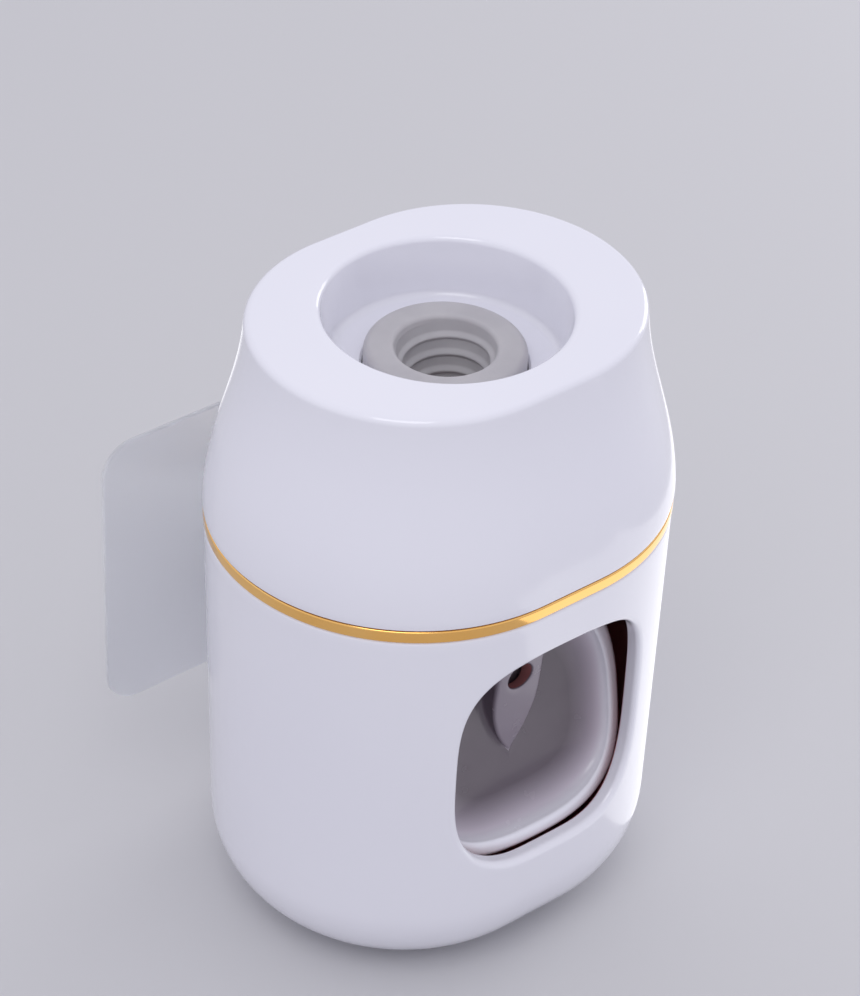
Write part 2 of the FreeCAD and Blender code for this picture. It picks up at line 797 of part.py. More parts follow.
def stop_finger(side_x):
    """Finger of an ear that rests under the deck and keeps the plate from swinging further out."""
    tip = V(side_x, -stop_forward, hinge_depth - deck_under_depth - pin_clearance - stop_radius)
    arm = Part.makePolygon([
        V(side_x, 0, lug_radius), tip + V(0, 0, stop_radius), tip - V(0, stop_radius, 0),
        V(side_x, -lug_radius, 0), V(side_x, 0, lug_radius),
    ])
    finger = Part.Face(arm).extrude(V(ear_width, 0, 0)).fuse(rod(stop_radius, tip, tip + V(ear_width, 0, 0)))
    finger.translate(V(0, -hinge_forward, -hinge_depth))
    return finger


def plate_frame(shape):
    """Moves a shape drawn about the hinge axis, plate upright, to its place at rest."""
    shape.rotate(ORIGIN, AXIS_X, -rest_tilt)
    shape.translate(V(0, -hinge_forward, -hinge_depth))
    return shape


def push_plate():
    front = -plate_rim_forward
    rim_back = front + plate_rim_height
    body_wires = [plate_loop(plate_rim_edge, 1, front), plate_loop(0, 1, front + plate_rim_edge)]
    body_wires += dish_wires(0, rim_back, plate_back - rim_back)
    body = Part.makeLoft(body_wires, True, False)
    bow = rod(plate_bow_radius, V(0, front + plate_bow_radius, -2 * plate_drop - overrun),
              V(0, front + plate_bow_radius, 0))
    body = body.common(bow)
    pad_boss = rod(pad_boss_radius, V(0, 0, -press_drop), V(0, pad_seat_back, -press_drop))
    extras = [pad_boss]
    fingers = []
    for side in (-1, 1):
        side_x = min(side * ear_outer, side * (ear_outer - ear_width))
        leg = Part.makePolygon([
            V(side_x, -lug_radius, 0), V(side_x, lug_radius, 0), V(side_x, plate_back / 2, -ear_heel),
            V(side_x, front + plate_rim_height, -ear_toe), V(side_x, -lug_radius, 0),
        ])
        extras.append(Part.Face(leg).extrude(V(ear_width, 0, 0)))
        extras.append(rod(lug_radius, V(side_x, 0, 0), V(side_x + ear_width, 0, 0)))
        fingers.append(stop_finger(side_x))
    dish = Part.makeLoft(dish_wires(plate_rim_width, front, dish_depth), True, False)
    mouth = Part.Face(plate_loop(plate_rim_width, 1, front)).extrude(V(0, -overrun, 0))
    plate = body.fuse(extras).cut([dish, mouth]).fuse(nose())
    nose_inside = front + nose_face_recess + nose_wall
    cuts = [
        rod(paste_hole_radius, V(0, front - overrun, -paste_hole_drop), V(0, plate_back, -paste_hole_drop)),
        rod(spout_room_radius, V(0, nose_inside, -paste_hole_drop),
            V(0, plate_back + overrun, -paste_hole_drop)),
        rod(pad_stem_radius + seat_clearance,
            V(0, pad_seat_back - pad_stem_length - seat_clearance, -press_drop),
            V(0, pad_seat_back + overrun, -press_drop)),
        rod(hinge_pin_radius + pin_clearance, V(-ear_outer - overrun, 0, 0), V(ear_outer + overrun, 0, 0)),
    ]
    return plate_frame(plate.cut(cuts)).fuse(fingers)


def presser_pad():
    seat = pad_seat_back + press_clearance
    ball = Part.makeSphere(pad_nose_radius, V(0, pad_centre_back, -press_drop))
    keep = block(2 * pad_nose_radius, seat, pad_tip_back + overrun, -press_drop - pad_nose_radius,
                 -press_drop + pad_nose_radius)
    stem = rod(pad_stem_radius, V(0, pad_seat_back - pad_stem_length, -press_drop), V(0, seat, -press_drop))
    return plate_frame(ball.common(keep).fuse(stem).removeSplitter())


def biarc(start, leave, end, arrive):
    """Two arcs that leave one point along a direction, reach another along a direction, and meet smoothly."""
    chord = end - start
    a = 2 * (1 - leave.dot(arrive))
    b = 2 * chord.dot(leave + arrive)
    c = -chord.dot(chord)
    reach = (-b + math.sqrt(b * b - 4 * a * c)) / (2 * a)
    first_peak = start + leave * reach
    last_peak = end - arrive * reach
    meet = (first_peak + last_peak) / 2
    edges = []
    for tail, peak, head in ((start, first_peak, meet), (meet, last_peak, end)):
        middle = (tail + head) / 2
        rise = peak - middle
        half = (head - tail).Length / 2
        lean = math.atan2(rise.Length, half)
        edges.append(Part.Arc(tail, middle + rise.normalize() * (half * math.tan(lean / 2)), head).toShape())
    return edges


def return_spring():
    """Torsion spring on the hinge pin: one leg up to the deck, coils, and one leg down behind the plate."""
    first = math.radians(spring_leg_angle - rest_tilt)
    turn = 2 * math.pi * spring_turns - first
    steps = spring_turn_steps * spring_turns
    start_x = ear_outer - ear_width - spring_inset - spring_wire_radius
    climb = spring_pitch / (2 * math.pi)
    points = []
    tangents = []
    for i in range(steps + 1):
        angle = first + turn * i / steps
        points.append(V(start_x - climb * angle, spring_coil_radius * math.cos(angle),
                        spring_coil_radius * math.sin(angle)))
        tangents.append(V(-climb, -spring_coil_radius * math.sin(angle),
                          spring_coil_radius * math.cos(angle)).normalize())
    low = points[0] - tangents[0] * spring_leg_length
    edges = [Part.makeLine(low, points[0])]
    for i in range(steps):
        edges += biarc(points[i], tangents[i], points[i + 1], tangents[i + 1])
    up_leg = hinge_depth - deck_under_depth - slide_clearance
    edges.append(Part.makeLine(points[-1], points[-1] + tangents[-1] * up_leg))
    wire = Part.Wire(edges)
    section = Part.Wire(Part.makeCircle(spring_wire_radius, low, tangents[0]))
    return wire.makePipeShell([section], True, False)


def return_springs():
    right = return_spring()
    right.translate(V(0, -hinge_forward, -hinge_depth))
    return Part.makeCompound([right, right.mirror(ORIGIN, AXIS_X)])


pieces = {
    "adhesive_sheet": adhesive_sheet,
    "hook_plate": hook_plate,
    "lower_shell": lower_shell,
    "trim_ring": trim_ring,
    "upper_shell": upper_shell,
    "inlet_plug": inlet_plug,
    "plug_seat": plug_seat,
    "plug_retainer": plug_retainer,
    "inlet_seal": inlet_seal,
    "inlet_valve": inlet_valve,
    "valve_cage": valve_cage,
    "core_deck": core_deck,
    "deck_screws": deck_screws,
    "chamber_screws": chamber_screws,
    "pump_chamber": pump_chamber,
    "diaphragm": diaphragm,
    "clamp_ring": clamp_ring,
    "clamp_screws": clamp_screws,
    "plunger": plunger,
    "outlet_valve": outlet_valve,
    "spout": spout,
    "hinge_pin": hinge_pin,
    "push_plate": push_plate,
    "presser_pad": presser_pad,
    "return_springs": return_springs,
}

os.makedirs("parts", exist_ok=True)
for name, make in pieces.items():
    shape = make()
    shape.translate(V(0, -sheet_back, sheet_centre_depth))
    shape.exportStep(os.path.join("parts", name + ".step"))
    print(name, len(shape.Solids), shape.isValid(), round(shape.Volume, 1))
print("hinge axis y, z", -hinge_forward - sheet_back, sheet_centre_depth - hinge_depth)
print("pump axis z", pump_z + sheet_centre_depth, "plunger front y", plunger_front - sheet_back)
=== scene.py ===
import bmesh
import bpy
import json
import numpy as np
from mathutils import Matrix, Vector


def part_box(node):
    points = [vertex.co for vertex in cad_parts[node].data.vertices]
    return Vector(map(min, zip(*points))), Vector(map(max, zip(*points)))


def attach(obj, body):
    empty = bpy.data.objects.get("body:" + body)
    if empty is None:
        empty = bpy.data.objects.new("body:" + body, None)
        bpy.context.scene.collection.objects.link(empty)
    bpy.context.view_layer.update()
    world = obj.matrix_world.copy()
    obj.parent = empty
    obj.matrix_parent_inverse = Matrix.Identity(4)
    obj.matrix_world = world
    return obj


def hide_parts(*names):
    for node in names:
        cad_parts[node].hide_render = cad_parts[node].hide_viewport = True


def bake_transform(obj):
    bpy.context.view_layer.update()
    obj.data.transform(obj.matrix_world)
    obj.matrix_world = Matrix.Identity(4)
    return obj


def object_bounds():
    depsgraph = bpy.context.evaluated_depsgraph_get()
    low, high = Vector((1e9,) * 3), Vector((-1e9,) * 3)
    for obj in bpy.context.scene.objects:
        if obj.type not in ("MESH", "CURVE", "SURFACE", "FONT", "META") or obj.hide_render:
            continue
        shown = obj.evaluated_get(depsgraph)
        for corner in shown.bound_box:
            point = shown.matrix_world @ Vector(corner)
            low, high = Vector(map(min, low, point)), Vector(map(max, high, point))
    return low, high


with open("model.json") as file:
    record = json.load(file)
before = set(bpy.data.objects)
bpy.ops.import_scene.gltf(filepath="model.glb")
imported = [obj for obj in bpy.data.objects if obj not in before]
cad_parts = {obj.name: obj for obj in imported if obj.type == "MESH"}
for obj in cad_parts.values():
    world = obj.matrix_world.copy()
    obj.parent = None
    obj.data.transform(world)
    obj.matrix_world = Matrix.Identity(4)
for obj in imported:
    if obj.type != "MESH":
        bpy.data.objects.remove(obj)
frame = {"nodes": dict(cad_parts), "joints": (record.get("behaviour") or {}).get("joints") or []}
cad_low, cad_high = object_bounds()


# Adhesive sheet: clear film with round corners, die-cut from clear plastic and stuck to the wall.
# It carries the whole dispenser, and its polished edge catches the light.
sheet_low, sheet_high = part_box("adhesive_sheet")
sheet_corner_radius = 0.0055
sheet_edge_radius = 0.00025
sheet_corner_steps = 24
sheet_edge_steps = 6
sheet_tint = (0.87, 0.88, 0.91, 1.0)
film_sockets = {"Transmission Weight": 0.68, "IOR": 1.46, "Alpha": 0.82}
sharp_angle = np.radians(42)
weld_distance = 1e-7
least_edge = 1e-8
ramp_ends = (0.3, 0.7)


def placed(name, data):
    """New object of some data, put into the scene."""
    thing = bpy.data.objects.new(name, data)
    bpy.context.scene.collection.objects.link(thing)
    return thing


def solid_of(name, points, faces, tint=None):
    """Closed object of points and faces, all turned outwards; a share of painted shade per point is kept for
    its material.
    """
    mesh = bpy.data.meshes.new(name)
    mesh.from_pydata(points.tolist(), [], faces.tolist())
    if tint is not None:
        mesh.attributes.new("tint", "FLOAT", "POINT").data.foreach_set("value", tint)
    work = bmesh.new()
    work.from_mesh(mesh)
    bmesh.ops.remove_doubles(work, verts=work.verts, dist=weld_distance)
    bmesh.ops.dissolve_degenerate(work, edges=work.edges, dist=least_edge)
    bmesh.ops.recalc_face_normals(work, faces=work.faces)
    work.to_mesh(mesh)
    work.free()
    mesh.shade_smooth()
    mesh.set_sharp_from_angle(angle=sharp_angle)
    return placed(name, mesh)


def numbered(rings, start=0):
    """Numbers of the points of some rings, one row to a ring, counted on from start."""
    count, around = rings.shape[:2]
    return start + np.arange(count * around).reshape(count, around)


def strips(numbers):
    """Four-sided faces between each row of point numbers, closed on itself, and the next row."""
    ahead = np.roll(numbers, -1, axis=1)
    return np.stack([numbers[:-1], ahead[:-1], ahead[1:], numbers[1:]], axis=-1)


def skin(name, rings, looped=False, tint=None):
    """Mesh of rings of points, each ring joined to the next one, and the last to the first if looped."""
    rings = np.asarray(rings, float)
    numbers = numbered(rings)
    if looped:
        numbers = np.vstack([numbers, numbers[:1]])
    return solid_of(name, rings.reshape(-1, 3), strips(numbers).reshape(-1, 4), tint)


def surface(name, colour, roughness, sockets=None):
    """New material with this colour and roughness, and the values given for other sockets of its shader."""
    material = bpy.data.materials.new(name)
    material.use_nodes = True
    inputs = material.node_tree.nodes["Principled BSDF"].inputs
    inputs["Base Color"].default_value = colour
    inputs["Roughness"].default_value = roughness
    for socket, value in (sockets or {}).items():
        inputs[socket].default_value = value
    return material


def grain(material, scale, detail=3.0, stretch=(1, 1, 1)):
    """Noise over the object's own coordinates, finer as scale goes up, drawn out where stretch is small."""
    nodes, links = material.node_tree.nodes, material.node_tree.links
    place = nodes.new("ShaderNodeTexCoord")
    mapping = nodes.new("ShaderNodeMapping")
    mapping.inputs["Scale"].default_value = stretch
    noise = nodes.new("ShaderNodeTexNoise")
    noise.inputs["Scale"].default_value = scale
    noise.inputs["Detail"].default_value = detail
    links.new(place.outputs["Object"], mapping.inputs["Vector"])
    links.new(mapping.outputs["Vector"], noise.inputs["Vector"])
    return noise


def vary(material, noise, socket, low, high):
    """Lets a shader's number or colour wander between two values with a noise."""
    nodes, links = material.node_tree.nodes, material.node_tree.links
    ramp = nodes.new("ShaderNodeValToRGB")
    for element, position, value in zip(ramp.color_ramp.elements, ramp_ends, (low, high)):
        element.position = position
        element.color = value if np.ndim(value) else (value, value, value, 1.0)
    links.new(noise.outputs["Fac"], ramp.inputs["Fac"])
    links.new(ramp.outputs["Color"], nodes["Principled BSDF"].inputs[socket])


def relief(material, noise, height, strength):
    """Fine relief of a surface from a noise, at a real height in metres."""
    nodes, links = material.node_tree.nodes, material.node_tree.links
    bump = nodes.new("ShaderNodeBump")
    bump.inputs["Distance"].default_value = height
    bump.inputs["Strength"].default_value = strength
    links.new(noise.outputs["Fac"], bump.inputs["Height"])
    links.new(bump.outputs["Normal"], nodes["Principled BSDF"].inputs["Normal"])


def quarter(steps, start=0):
    """Angles of a quarter turn, or of what is left of it from a start in degrees."""
    return np.radians(np.linspace(start, 90, steps))


def round_rectangle(half_width, half_height, corner, steps):
    """Outline of a rectangle with round corners: each corner's centre plus a quarter circle."""
    angle = np.linspace(0, np.pi / 2, steps)[None, :] + np.pi / 2 * np.arange(4)[:, None]
    middle = np.pi / 4 + np.pi / 2 * np.arange(4)[:, None]
    x = (half_width - corner) * np.sign(np.cos(middle)) + corner * np.cos(angle)
    z = (half_height - corner) * np.sign(np.sin(middle)) + corner * np.sin(angle)
    return x.ravel(), z.ravel()


sheet_turn = quarter(sheet_edge_steps)
sheet_inset = sheet_edge_radius * (1 - np.sin(sheet_turn))
sheet_sink = sheet_edge_radius * (1 - np.cos(sheet_turn))
sheet_thick = sheet_high.y - sheet_low.y
front_edge = [(inset, sink, 1.0) for inset, sink in zip(sheet_inset, sheet_sink)]
back_edge = [(inset, sheet_thick - sink, 1.0) for inset, sink, spread in front_edge[::-1]]
sheet_profile = [(sheet_edge_radius, 0.0, 0.0), *front_edge]
sheet_profile += [*back_edge, (sheet_edge_radius, sheet_thick, 0.0)]
sheet_rings = []
for inset, depth, spread in sheet_profile:
    x, z = round_rectangle(sheet_high.x - inset, sheet_high.z - inset, sheet_corner_radius - inset,
                           sheet_corner_steps)
    sheet_rings.append(np.stack([x * spread, np.full_like(x, sheet_low.y + depth), z * spread], axis=-1))
wall_sheet = skin("wall_sheet", sheet_rings)
clear_film = surface("clear_film", sheet_tint, 0.3, film_sockets)
vary(clear_film, grain(clear_film, 20.0, 1.0), "Roughness", 0.28, 0.34)
relief(clear_film, grain(clear_film, 30.0, 1.0), 0.00004, 0.05)
wall_sheet.data.materials.append(clear_film)
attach(wall_sheet, "wall_mount")
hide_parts("adhesive_sheet")


# Hook plate: plain moulded plate bonded to the sheet, with the hook that the body hangs on.
# It is made of pale satin plastic with a fine grain from its mould.
hook_colour = (0.80, 0.79, 0.81, 1.0)
hook_plastic = surface("hook_plastic", hook_colour, 0.4)
vary(hook_plastic, grain(hook_plastic, 300.0), "Roughness", 0.34, 0.48)
relief(hook_plastic, grain(hook_plastic, 1800.0), 0.00003, 0.3)


def clothe(names, material):
    """Puts a material on CAD nodes that keep their own shape."""
    for name in names:
        slots = frame["nodes"][name].data.materials
        slots.clear()
        slots.append(material)


clothe(["hook_plate"], hook_plastic)


# Lower body: gloss white moulded shell of stadium plan with a squircle brush opening in its front.
# It has a rolled lip round the opening, a neck for the cover, and a slot behind that the hook enters.
shell_low, shell_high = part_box("lower_shell")
ring_low, ring_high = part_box("trim_ring")
body_y = (shell_low.y + shell_high.y) / 2
half_flat = (shell_high.x - shell_low.x - shell_high.y + shell_low.y) / 2
lower_radius = (shell_high.y - shell_low.y) / 2
base_taper = 0.0012
base_radius = lower_radius - base_taper
base_round = 0.0155
shell_wall = 0.0025
shell_edge = 0.0006
inside_margin = 0.1 * shell_wall
shoulder_z = ring_low.z
neck_step = 0.0015
neck_radius = lower_radius - neck_step
neck_wall = 0.0014
neck_edge = shell_edge / 2
neck_inner = neck_radius - neck_wall
opening_half_width = 0.0168
opening_half_height = 0.0195
opening_power = 3.3
opening_drop = 0.0076
opening_z = shoulder_z - opening_drop - opening_half_height
lip_radius = 0.0012
lip_inner_radius = 0.0006
slot_half_width = 0.0043
slot_top_drop = 0.0119
slot_bottom_drop = 0.0213
slot_top = shoulder_z - slot_top_drop
slot_bottom = shoulder_z - slot_bottom_drop
patch_top_drop = 0.0022
patch_foot_gap = 0.0052
patch_top = shoulder_z - patch_top_drop
patch_bottom = opening_z - opening_half_height - patch_foot_gap
patch_angle = np.radians(45)
arc_steps = 64
front_steps = 14
back_steps = 11
floor_steps = 8
base_steps = 26
inner_steps = 18
shoulder_steps = 7
lip_steps = 9
outer_spread_steps = 10
inner_spread_steps = 8
rows_under_slot = 22
rows_of_slot = 8
hair = 1e-9
white_colour = (0.80, 0.795, 0.86, 1.0)
white_colour_cool = (0.775, 0.77, 0.84, 1.0)
inside_shade_colour = (0.72, 0.29, 0.31, 1.0)
inside_shade_colour_deep = (0.64, 0.25, 0.27, 1.0)
white_sockets = {"Coat Weight": 0.35, "Coat Roughness": 0.04, "IOR": 1.52}


def stadium_columns():
    """Columns round a stadium, as the centre of the end that each belongs to and its direction."""
    flat = np.linspace(-half_flat, half_flat, front_steps + 1)[1:-1]
    slot_sides = [-slot_half_width, slot_half_width]
    back = np.concatenate([np.linspace(-half_flat, half_flat, back_steps)[1:-1], slot_sides])
    back = np.unique(back)[::-1]
    right = np.linspace(-np.pi / 2, np.pi / 2, arc_steps + 1)
    left = right + np.pi
    ends = np.full(arc_steps + 1, half_flat)
    centre = np.concatenate([ends, back, -ends, flat])
    turn = np.concatenate([right, np.full(len(back), np.pi / 2), left, np.full(len(flat), 1.5 * np.pi)])
    return centre, turn


column_centre, column_turn = stadium_columns()


def stadium_ring(radius, z):
    """Ring of points at one radius from the stadium's centre line, at one height."""
    x = column_centre + radius * np.cos(column_turn)
    y = body_y + radius * np.sin(column_turn)
    return np.stack([x, y, np.full_like(x, z)], axis=-1)


def corner(centre_r, centre_z, radius, start, end, steps):
    """Arc of a profile, as radius and height, between two angles in degrees."""
    angle = np.radians(np.linspace(start, end, steps))
    return np.stack([centre_r + radius * np.cos(angle), centre_z + radius * np.sin(angle)], axis=-1)


def squircle(angle, grow=0.0):
    """Point of the opening's outline in a direction from its centre, moved out along its normal by grow."""
    wide = np.abs(np.cos(angle) / opening_half_width) ** opening_power
    high = np.abs(np.sin(angle) / opening_half_height) ** opening_power
    reach = (wide + high) ** (-1 / opening_power)
    x, z = reach * np.cos(angle), reach * np.sin(angle)
    nx = np.sign(x) * np.abs(x / opening_half_width) ** (opening_power - 1) / opening_half_width
    nz = np.sign(z) * np.abs(z / opening_half_height) ** (opening_power - 1) / opening_half_height
    size = np.hypot(nx, nz)
    return x + grow * nx / size, z + grow * nz / size


def radius_at(z, top_radius, foot_radius, foot_z):
    """Radius of a drafted wall at a height, on the line from the shoulder to the foot."""
    return foot_radius + (top_radius - foot_radius) * (z - foot_z) / (shoulder_z - foot_z)


def front_y(x, z, top_radius, foot_radius, foot_z):
    """Y of the front of a drafted stadium wall over a place in X and Z."""
    radius = radius_at(z, top_radius, foot_radius, foot_z)
    return body_y - np.sqrt(radius ** 2 - np.maximum(np.abs(x) - half_flat, 0) ** 2)


side_rows = np.unique(np.concatenate([
    np.linspace(patch_bottom, slot_bottom, rows_under_slot), np.linspace(slot_bottom, slot_top, rows_of_slot),
    np.linspace(slot_top, patch_top, rows_of_slot),
]))
side_count = len(side_rows)
outer_wall = (lower_radius, base_radius, shell_low.z)
floor_z = shell_low.z + shell_wall
inner_wall = (neck_inner, base_radius - shell_wall, floor_z)
draft = np.degrees(np.arctan2(lower_radius - base_radius, shoulder_z - shell_low.z))
base_centre = radius_at(shell_low.z + base_round, *outer_wall) - base_round / np.cos(np.radians(draft))
inner_round = base_round - shell_wall
inner_centre = radius_at(floor_z + inner_round, *inner_wall) - inner_round
outer_side = np.stack([radius_at(side_rows, *outer_wall), side_rows], axis=-1)
inner_side = np.stack([radius_at(side_rows, *inner_wall), side_rows], axis=-1)[::-1]
base_run = np.linspace(0, base_centre, floor_steps)[:-1]
inner_run = np.linspace(inner_centre, 0, floor_steps)[1:]
neck_top = shell_high.z
profile = np.concatenate([
    np.stack([base_run, np.full_like(base_run, shell_low.z)], axis=-1),
    corner(base_centre, shell_low.z + base_round, base_round, -90, -draft, base_steps),
    outer_side,
    corner(lower_radius - shell_edge, shoulder_z - shell_edge, shell_edge, 0, 90, shoulder_steps),
    [(neck_radius, shoulder_z), (neck_radius, neck_top - neck_edge)],
    [(neck_radius - neck_edge, neck_top), (neck_inner + neck_edge, neck_top)],
    [(neck_inner, neck_top - neck_edge), (neck_inner, shoulder_z)],
    inner_side,
    corner(inner_centre, floor_z + inner_round, inner_round, 0, -90, inner_steps),
    np.stack([inner_run, np.full_like(inner_run, floor_z)], axis=-1),
])
shell_grid = np.array([stadium_ring(radius, z) for radius, z in profile])
rows, columns = shell_grid.shape[:2]
outer_first = len(base_run) + base_steps
inner_first = rows - len(inner_run) - inner_steps - side_count
patch_reach = int(round(arc_steps * patch_angle / np.pi))
front_columns = np.count_nonzero(column_turn > 1.5 * np.pi - hair)
left_edge = columns - front_columns - patch_reach
patch_columns = np.concatenate([np.arange(left_edge, columns), np.arange(0, patch_reach + 1)])
slot_columns = np.flatnonzero((np.abs(column_centre) <= slot_half_width + hair) & (column_turn == np.pi / 2))
slot_rows = np.flatnonzero((side_rows > slot_bottom - hair) & (side_rows < slot_top + hair))
inner_slot_rows = side_count - 1 - slot_rows
# Faces in front, round the opening, and those of the slot are left out here, and rings fill in for them.
keep = np.ones((rows - 1, columns), bool)
for first, local in ((outer_first, slot_rows), (inner_first, inner_slot_rows)):
    keep[first:first + side_count - 1][:, patch_columns[:-1]] = False
    keep[first + local.min():first + local.max()][:, slot_columns[:-1]] = False
wall_faces = strips(numbered(shell_grid))[keep]


def block_border(first, last, block_columns):
    """Closed loop of grid points round a block of rows and columns, starting at its first row and column."""
    step = 1 if last > first else -1
    block = shell_grid[np.arange(first, last + step, step)][:, block_columns]
    return np.concatenate([block[0, :-1], block[:-1, -1], block[-1, :0:-1], block[:0:-1, 0]])


outer_border = block_border(outer_first, outer_first + side_count - 1, patch_columns)
inner_border = block_border(inner_first + side_count - 1, inner_first, patch_columns)
border_angle = np.arctan2(outer_border[:, 2] - opening_z, outer_border[:, 0])


def on_wall(x, z, wall, sink=0.0):
    """Points of the front of a wall over places in X and Z, sunk back from it along Y."""
    return np.stack([x, front_y(x, z, *wall) + sink, z], axis=-1)


def spread_to(border, wall, grow, steps):
    """Rings from the opening's outline, moved out by grow, to a border, all lying on a wall."""
    start_x, start_z = squircle(border_angle, grow)
    share = np.linspace(0, 1, steps)[:, None]
    x = start_x + (border[:, 0] - start_x) * share
    z = start_z + opening_z + (border[:, 2] - start_z - opening_z) * share
    return on_wall(x, z, wall)


lip_turn = quarter(lip_steps)[:, None]
lip_x, lip_z = squircle(border_angle[None, :], lip_radius * (1 - np.sin(lip_turn)))
lip_rings = on_wall(lip_x, lip_z + opening_z, outer_wall, lip_radius * (1 - np.cos(lip_turn)))
back_x, back_z = squircle(border_angle[None, :], lip_inner_radius * (1 - np.cos(lip_turn)))
back_rings = on_wall(back_x, back_z + opening_z, inner_wall, -lip_inner_radius * (1 - np.sin(lip_turn)))
opening_rings = np.concatenate([
    spread_to(outer_border, outer_wall, lip_radius, outer_spread_steps)[:0:-1], lip_rings, back_rings,
    spread_to(inner_border, inner_wall, lip_inner_radius, inner_spread_steps)[1:],
])
opening_rings[0] = outer_border
opening_rings[-1] = inner_border
slot_rings = np.array([
    block_border(outer_first + slot_rows.min(), outer_first + slot_rows.max(), slot_columns),
    block_border(inner_first + inner_slot_rows.max(), inner_first + inner_slot_rows.min(), slot_columns),
])
opening_start = rows * columns
slot_start = opening_start + opening_rings[..., 0].size
shell_points = np.concatenate([grid.reshape(-1, 3) for grid in (shell_grid, opening_rings, slot_rings)])
shell_faces = np.concatenate([
    wall_faces, strips(numbered(opening_rings, opening_start)).reshape(-1, 4),
    strips(numbered(slot_rings, slot_start)).reshape(-1, 4),
])
lower_body = solid_of("lower_body", shell_points, shell_faces)
gloss_white = surface("gloss_white", white_colour, 0.16, white_sockets)
vary(gloss_white, grain(gloss_white, 18.0), "Base Color", white_colour, white_colour_cool)
vary(gloss_white, grain(gloss_white, 240.0), "Roughness", 0.13, 0.2)
relief(gloss_white, grain(gloss_white, 420.0, 2.0), 0.00002, 0.12)
# Faces inside the body are painted maroon-red: painted shade that stands in for the dark warm shade inside
# it.
dark_inside = surface("dark_inside", inside_shade_colour, 0.5)
vary(dark_inside, grain(dark_inside, 40.0), "Base Color", inside_shade_colour, inside_shade_colour_deep)
relief(dark_inside, grain(dark_inside, 1500.0), 0.00004, 0.4)
lower_body.data.materials.append(gloss_white)
lower_body.data.materials.append(dark_inside)


def paint_shade_inside(piece):
    """Gives the second material, the painted shade of the inside, to the faces deeper than most of the wall,
    below the neck.
    """
    centres = np.empty(len(piece.data.polygons) * 3)
    piece.data.polygons.foreach_get("center", centres)
    x, y, z = centres.reshape(-1, 3).T
    reach = np.hypot(np.maximum(np.abs(x) - half_flat, 0), y - body_y) - inner_centre
    rise = z - floor_z - inner_round
    depth = np.where(rise < 0, np.hypot(np.maximum(reach, 0), rise), reach)
    limit = np.where(rise < 0, inner_round, radius_at(z, *inner_wall) - inner_centre) + inside_margin
    inside = (depth < limit) & (z < shoulder_z)
    piece.data.polygons.foreach_set("material_index", inside.astype(np.int32))


paint_shade_inside(lower_body)
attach(lower_body, "housing")
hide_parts("lower_shell")


# Gold band: thin ring of polished gold plate that sits round the neck and closes the seam.
# Its edges are rolled, and fine lines of polishing run along it.
band_edge = 0.0003
band_steps = 6
band_depth = 0.0015
band_radius = (ring_high.y - ring_low.y) / 2
band_inner = band_radius - band_depth
gold_colour = (0.95, 0.53, 0.15, 1.0)
gold_colour_pale = (0.98, 0.61, 0.22, 1.0)
band_profile = np.concatenate([
    [(band_inner, ring_low.z)],
    corner(band_radius - band_edge, ring_low.z + band_edge, band_edge, -90, 0, band_steps),
    corner(band_radius - band_edge, ring_high.z - band_edge, band_edge, 0, 90, band_steps),
    [(band_inner, ring_high.z)],
])
gold_band = skin("gold_band", [stadium_ring(radius, z) for radius, z in band_profile], looped=True)
polished_gold = surface("polished_gold", gold_colour, 0.1, {"Metallic": 1.0})
vary(polished_gold, grain(polished_gold, 60.0), "Base Color", gold_colour, gold_colour_pale)
vary(polished_gold, grain(polished_gold, 900.0, 4.0, (0.05, 0.05, 1.0)), "Roughness", 0.06, 0.16)
gold_band.data.materials.append(polished_gold)
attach(gold_band, "housing")
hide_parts("trim_ring")


# Top cover: bell-shaped gloss white moulding with a round well in its flat top.
# Its skirt slips over the neck of the lower body, and it lifts straight off for cleaning.
cover_low, cover_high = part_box("upper_shell")
cover_top = cover_high.z
cover_foot = cover_low.z
belly_radius = (cover_high.y - cover_low.y) / 2
top_radius = 0.0247
top_edge = 0.0011
cover_wall = 0.0022
top_wall = 0.0024
foot_edge = 0.00012
bell_depth_shares = (0.40, 0.65)
bell_swell_shares = (0.15, 0.97)
well_radius = 0.018
well_floor_radius = 0.0172
well_depth = 0.0095
well_rim = 0.001
well_round = 0.0012
well_wall = 0.002
bell_steps = 44
edge_steps = 12
well_steps = 10
under_steps = 6
room_steps = 24
room_edge_steps = 8
span_steps = 6
under_span_steps = 3
plug_low, plug_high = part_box("inlet_plug")
plug_hole = 0.01195
skirt_gap = 0.0003
skirt_lift = 0.0001
skirt_radius = neck_radius + skirt_gap
skirt_top = neck_top + skirt_lift


def bell_curve(radius, top, foot_radius, foot, steps):
    """Bezier curve from under the rounded edge down to the seam, as radius and height."""
    share = np.linspace(0, 1, steps)[:, None]
    start = np.array([radius, top])
    span = np.array([foot_radius - radius, foot - top])
    near = start + span * (bell_swell_shares[0], bell_depth_shares[0])
    far = start + span * (bell_swell_shares[1], bell_depth_shares[1])
    end = start + span
    rest = 1 - share
    return start * rest ** 3 + 3 * near * share * rest ** 2 + 3 * far * share ** 2 * rest + end * share ** 3


def round_ring(radius, z):
    """Circle at one height whose points lie in the directions of the stadium's columns."""
    outline = stadium_ring(top_radius, z)
    direction = np.arctan2(outline[:, 1] - body_y, outline[:, 0])
    x, y = radius * np.cos(direction), body_y + radius * np.sin(direction)
    return np.stack([x, y, np.full_like(x, z)], axis=-1)


def between(first, last, steps):
    """Rings that lead from one ring to another in straight lines, ends left out."""
    share = np.linspace(0, 1, steps + 2)[1:-1, None, None]
    return first + (last - first) * share


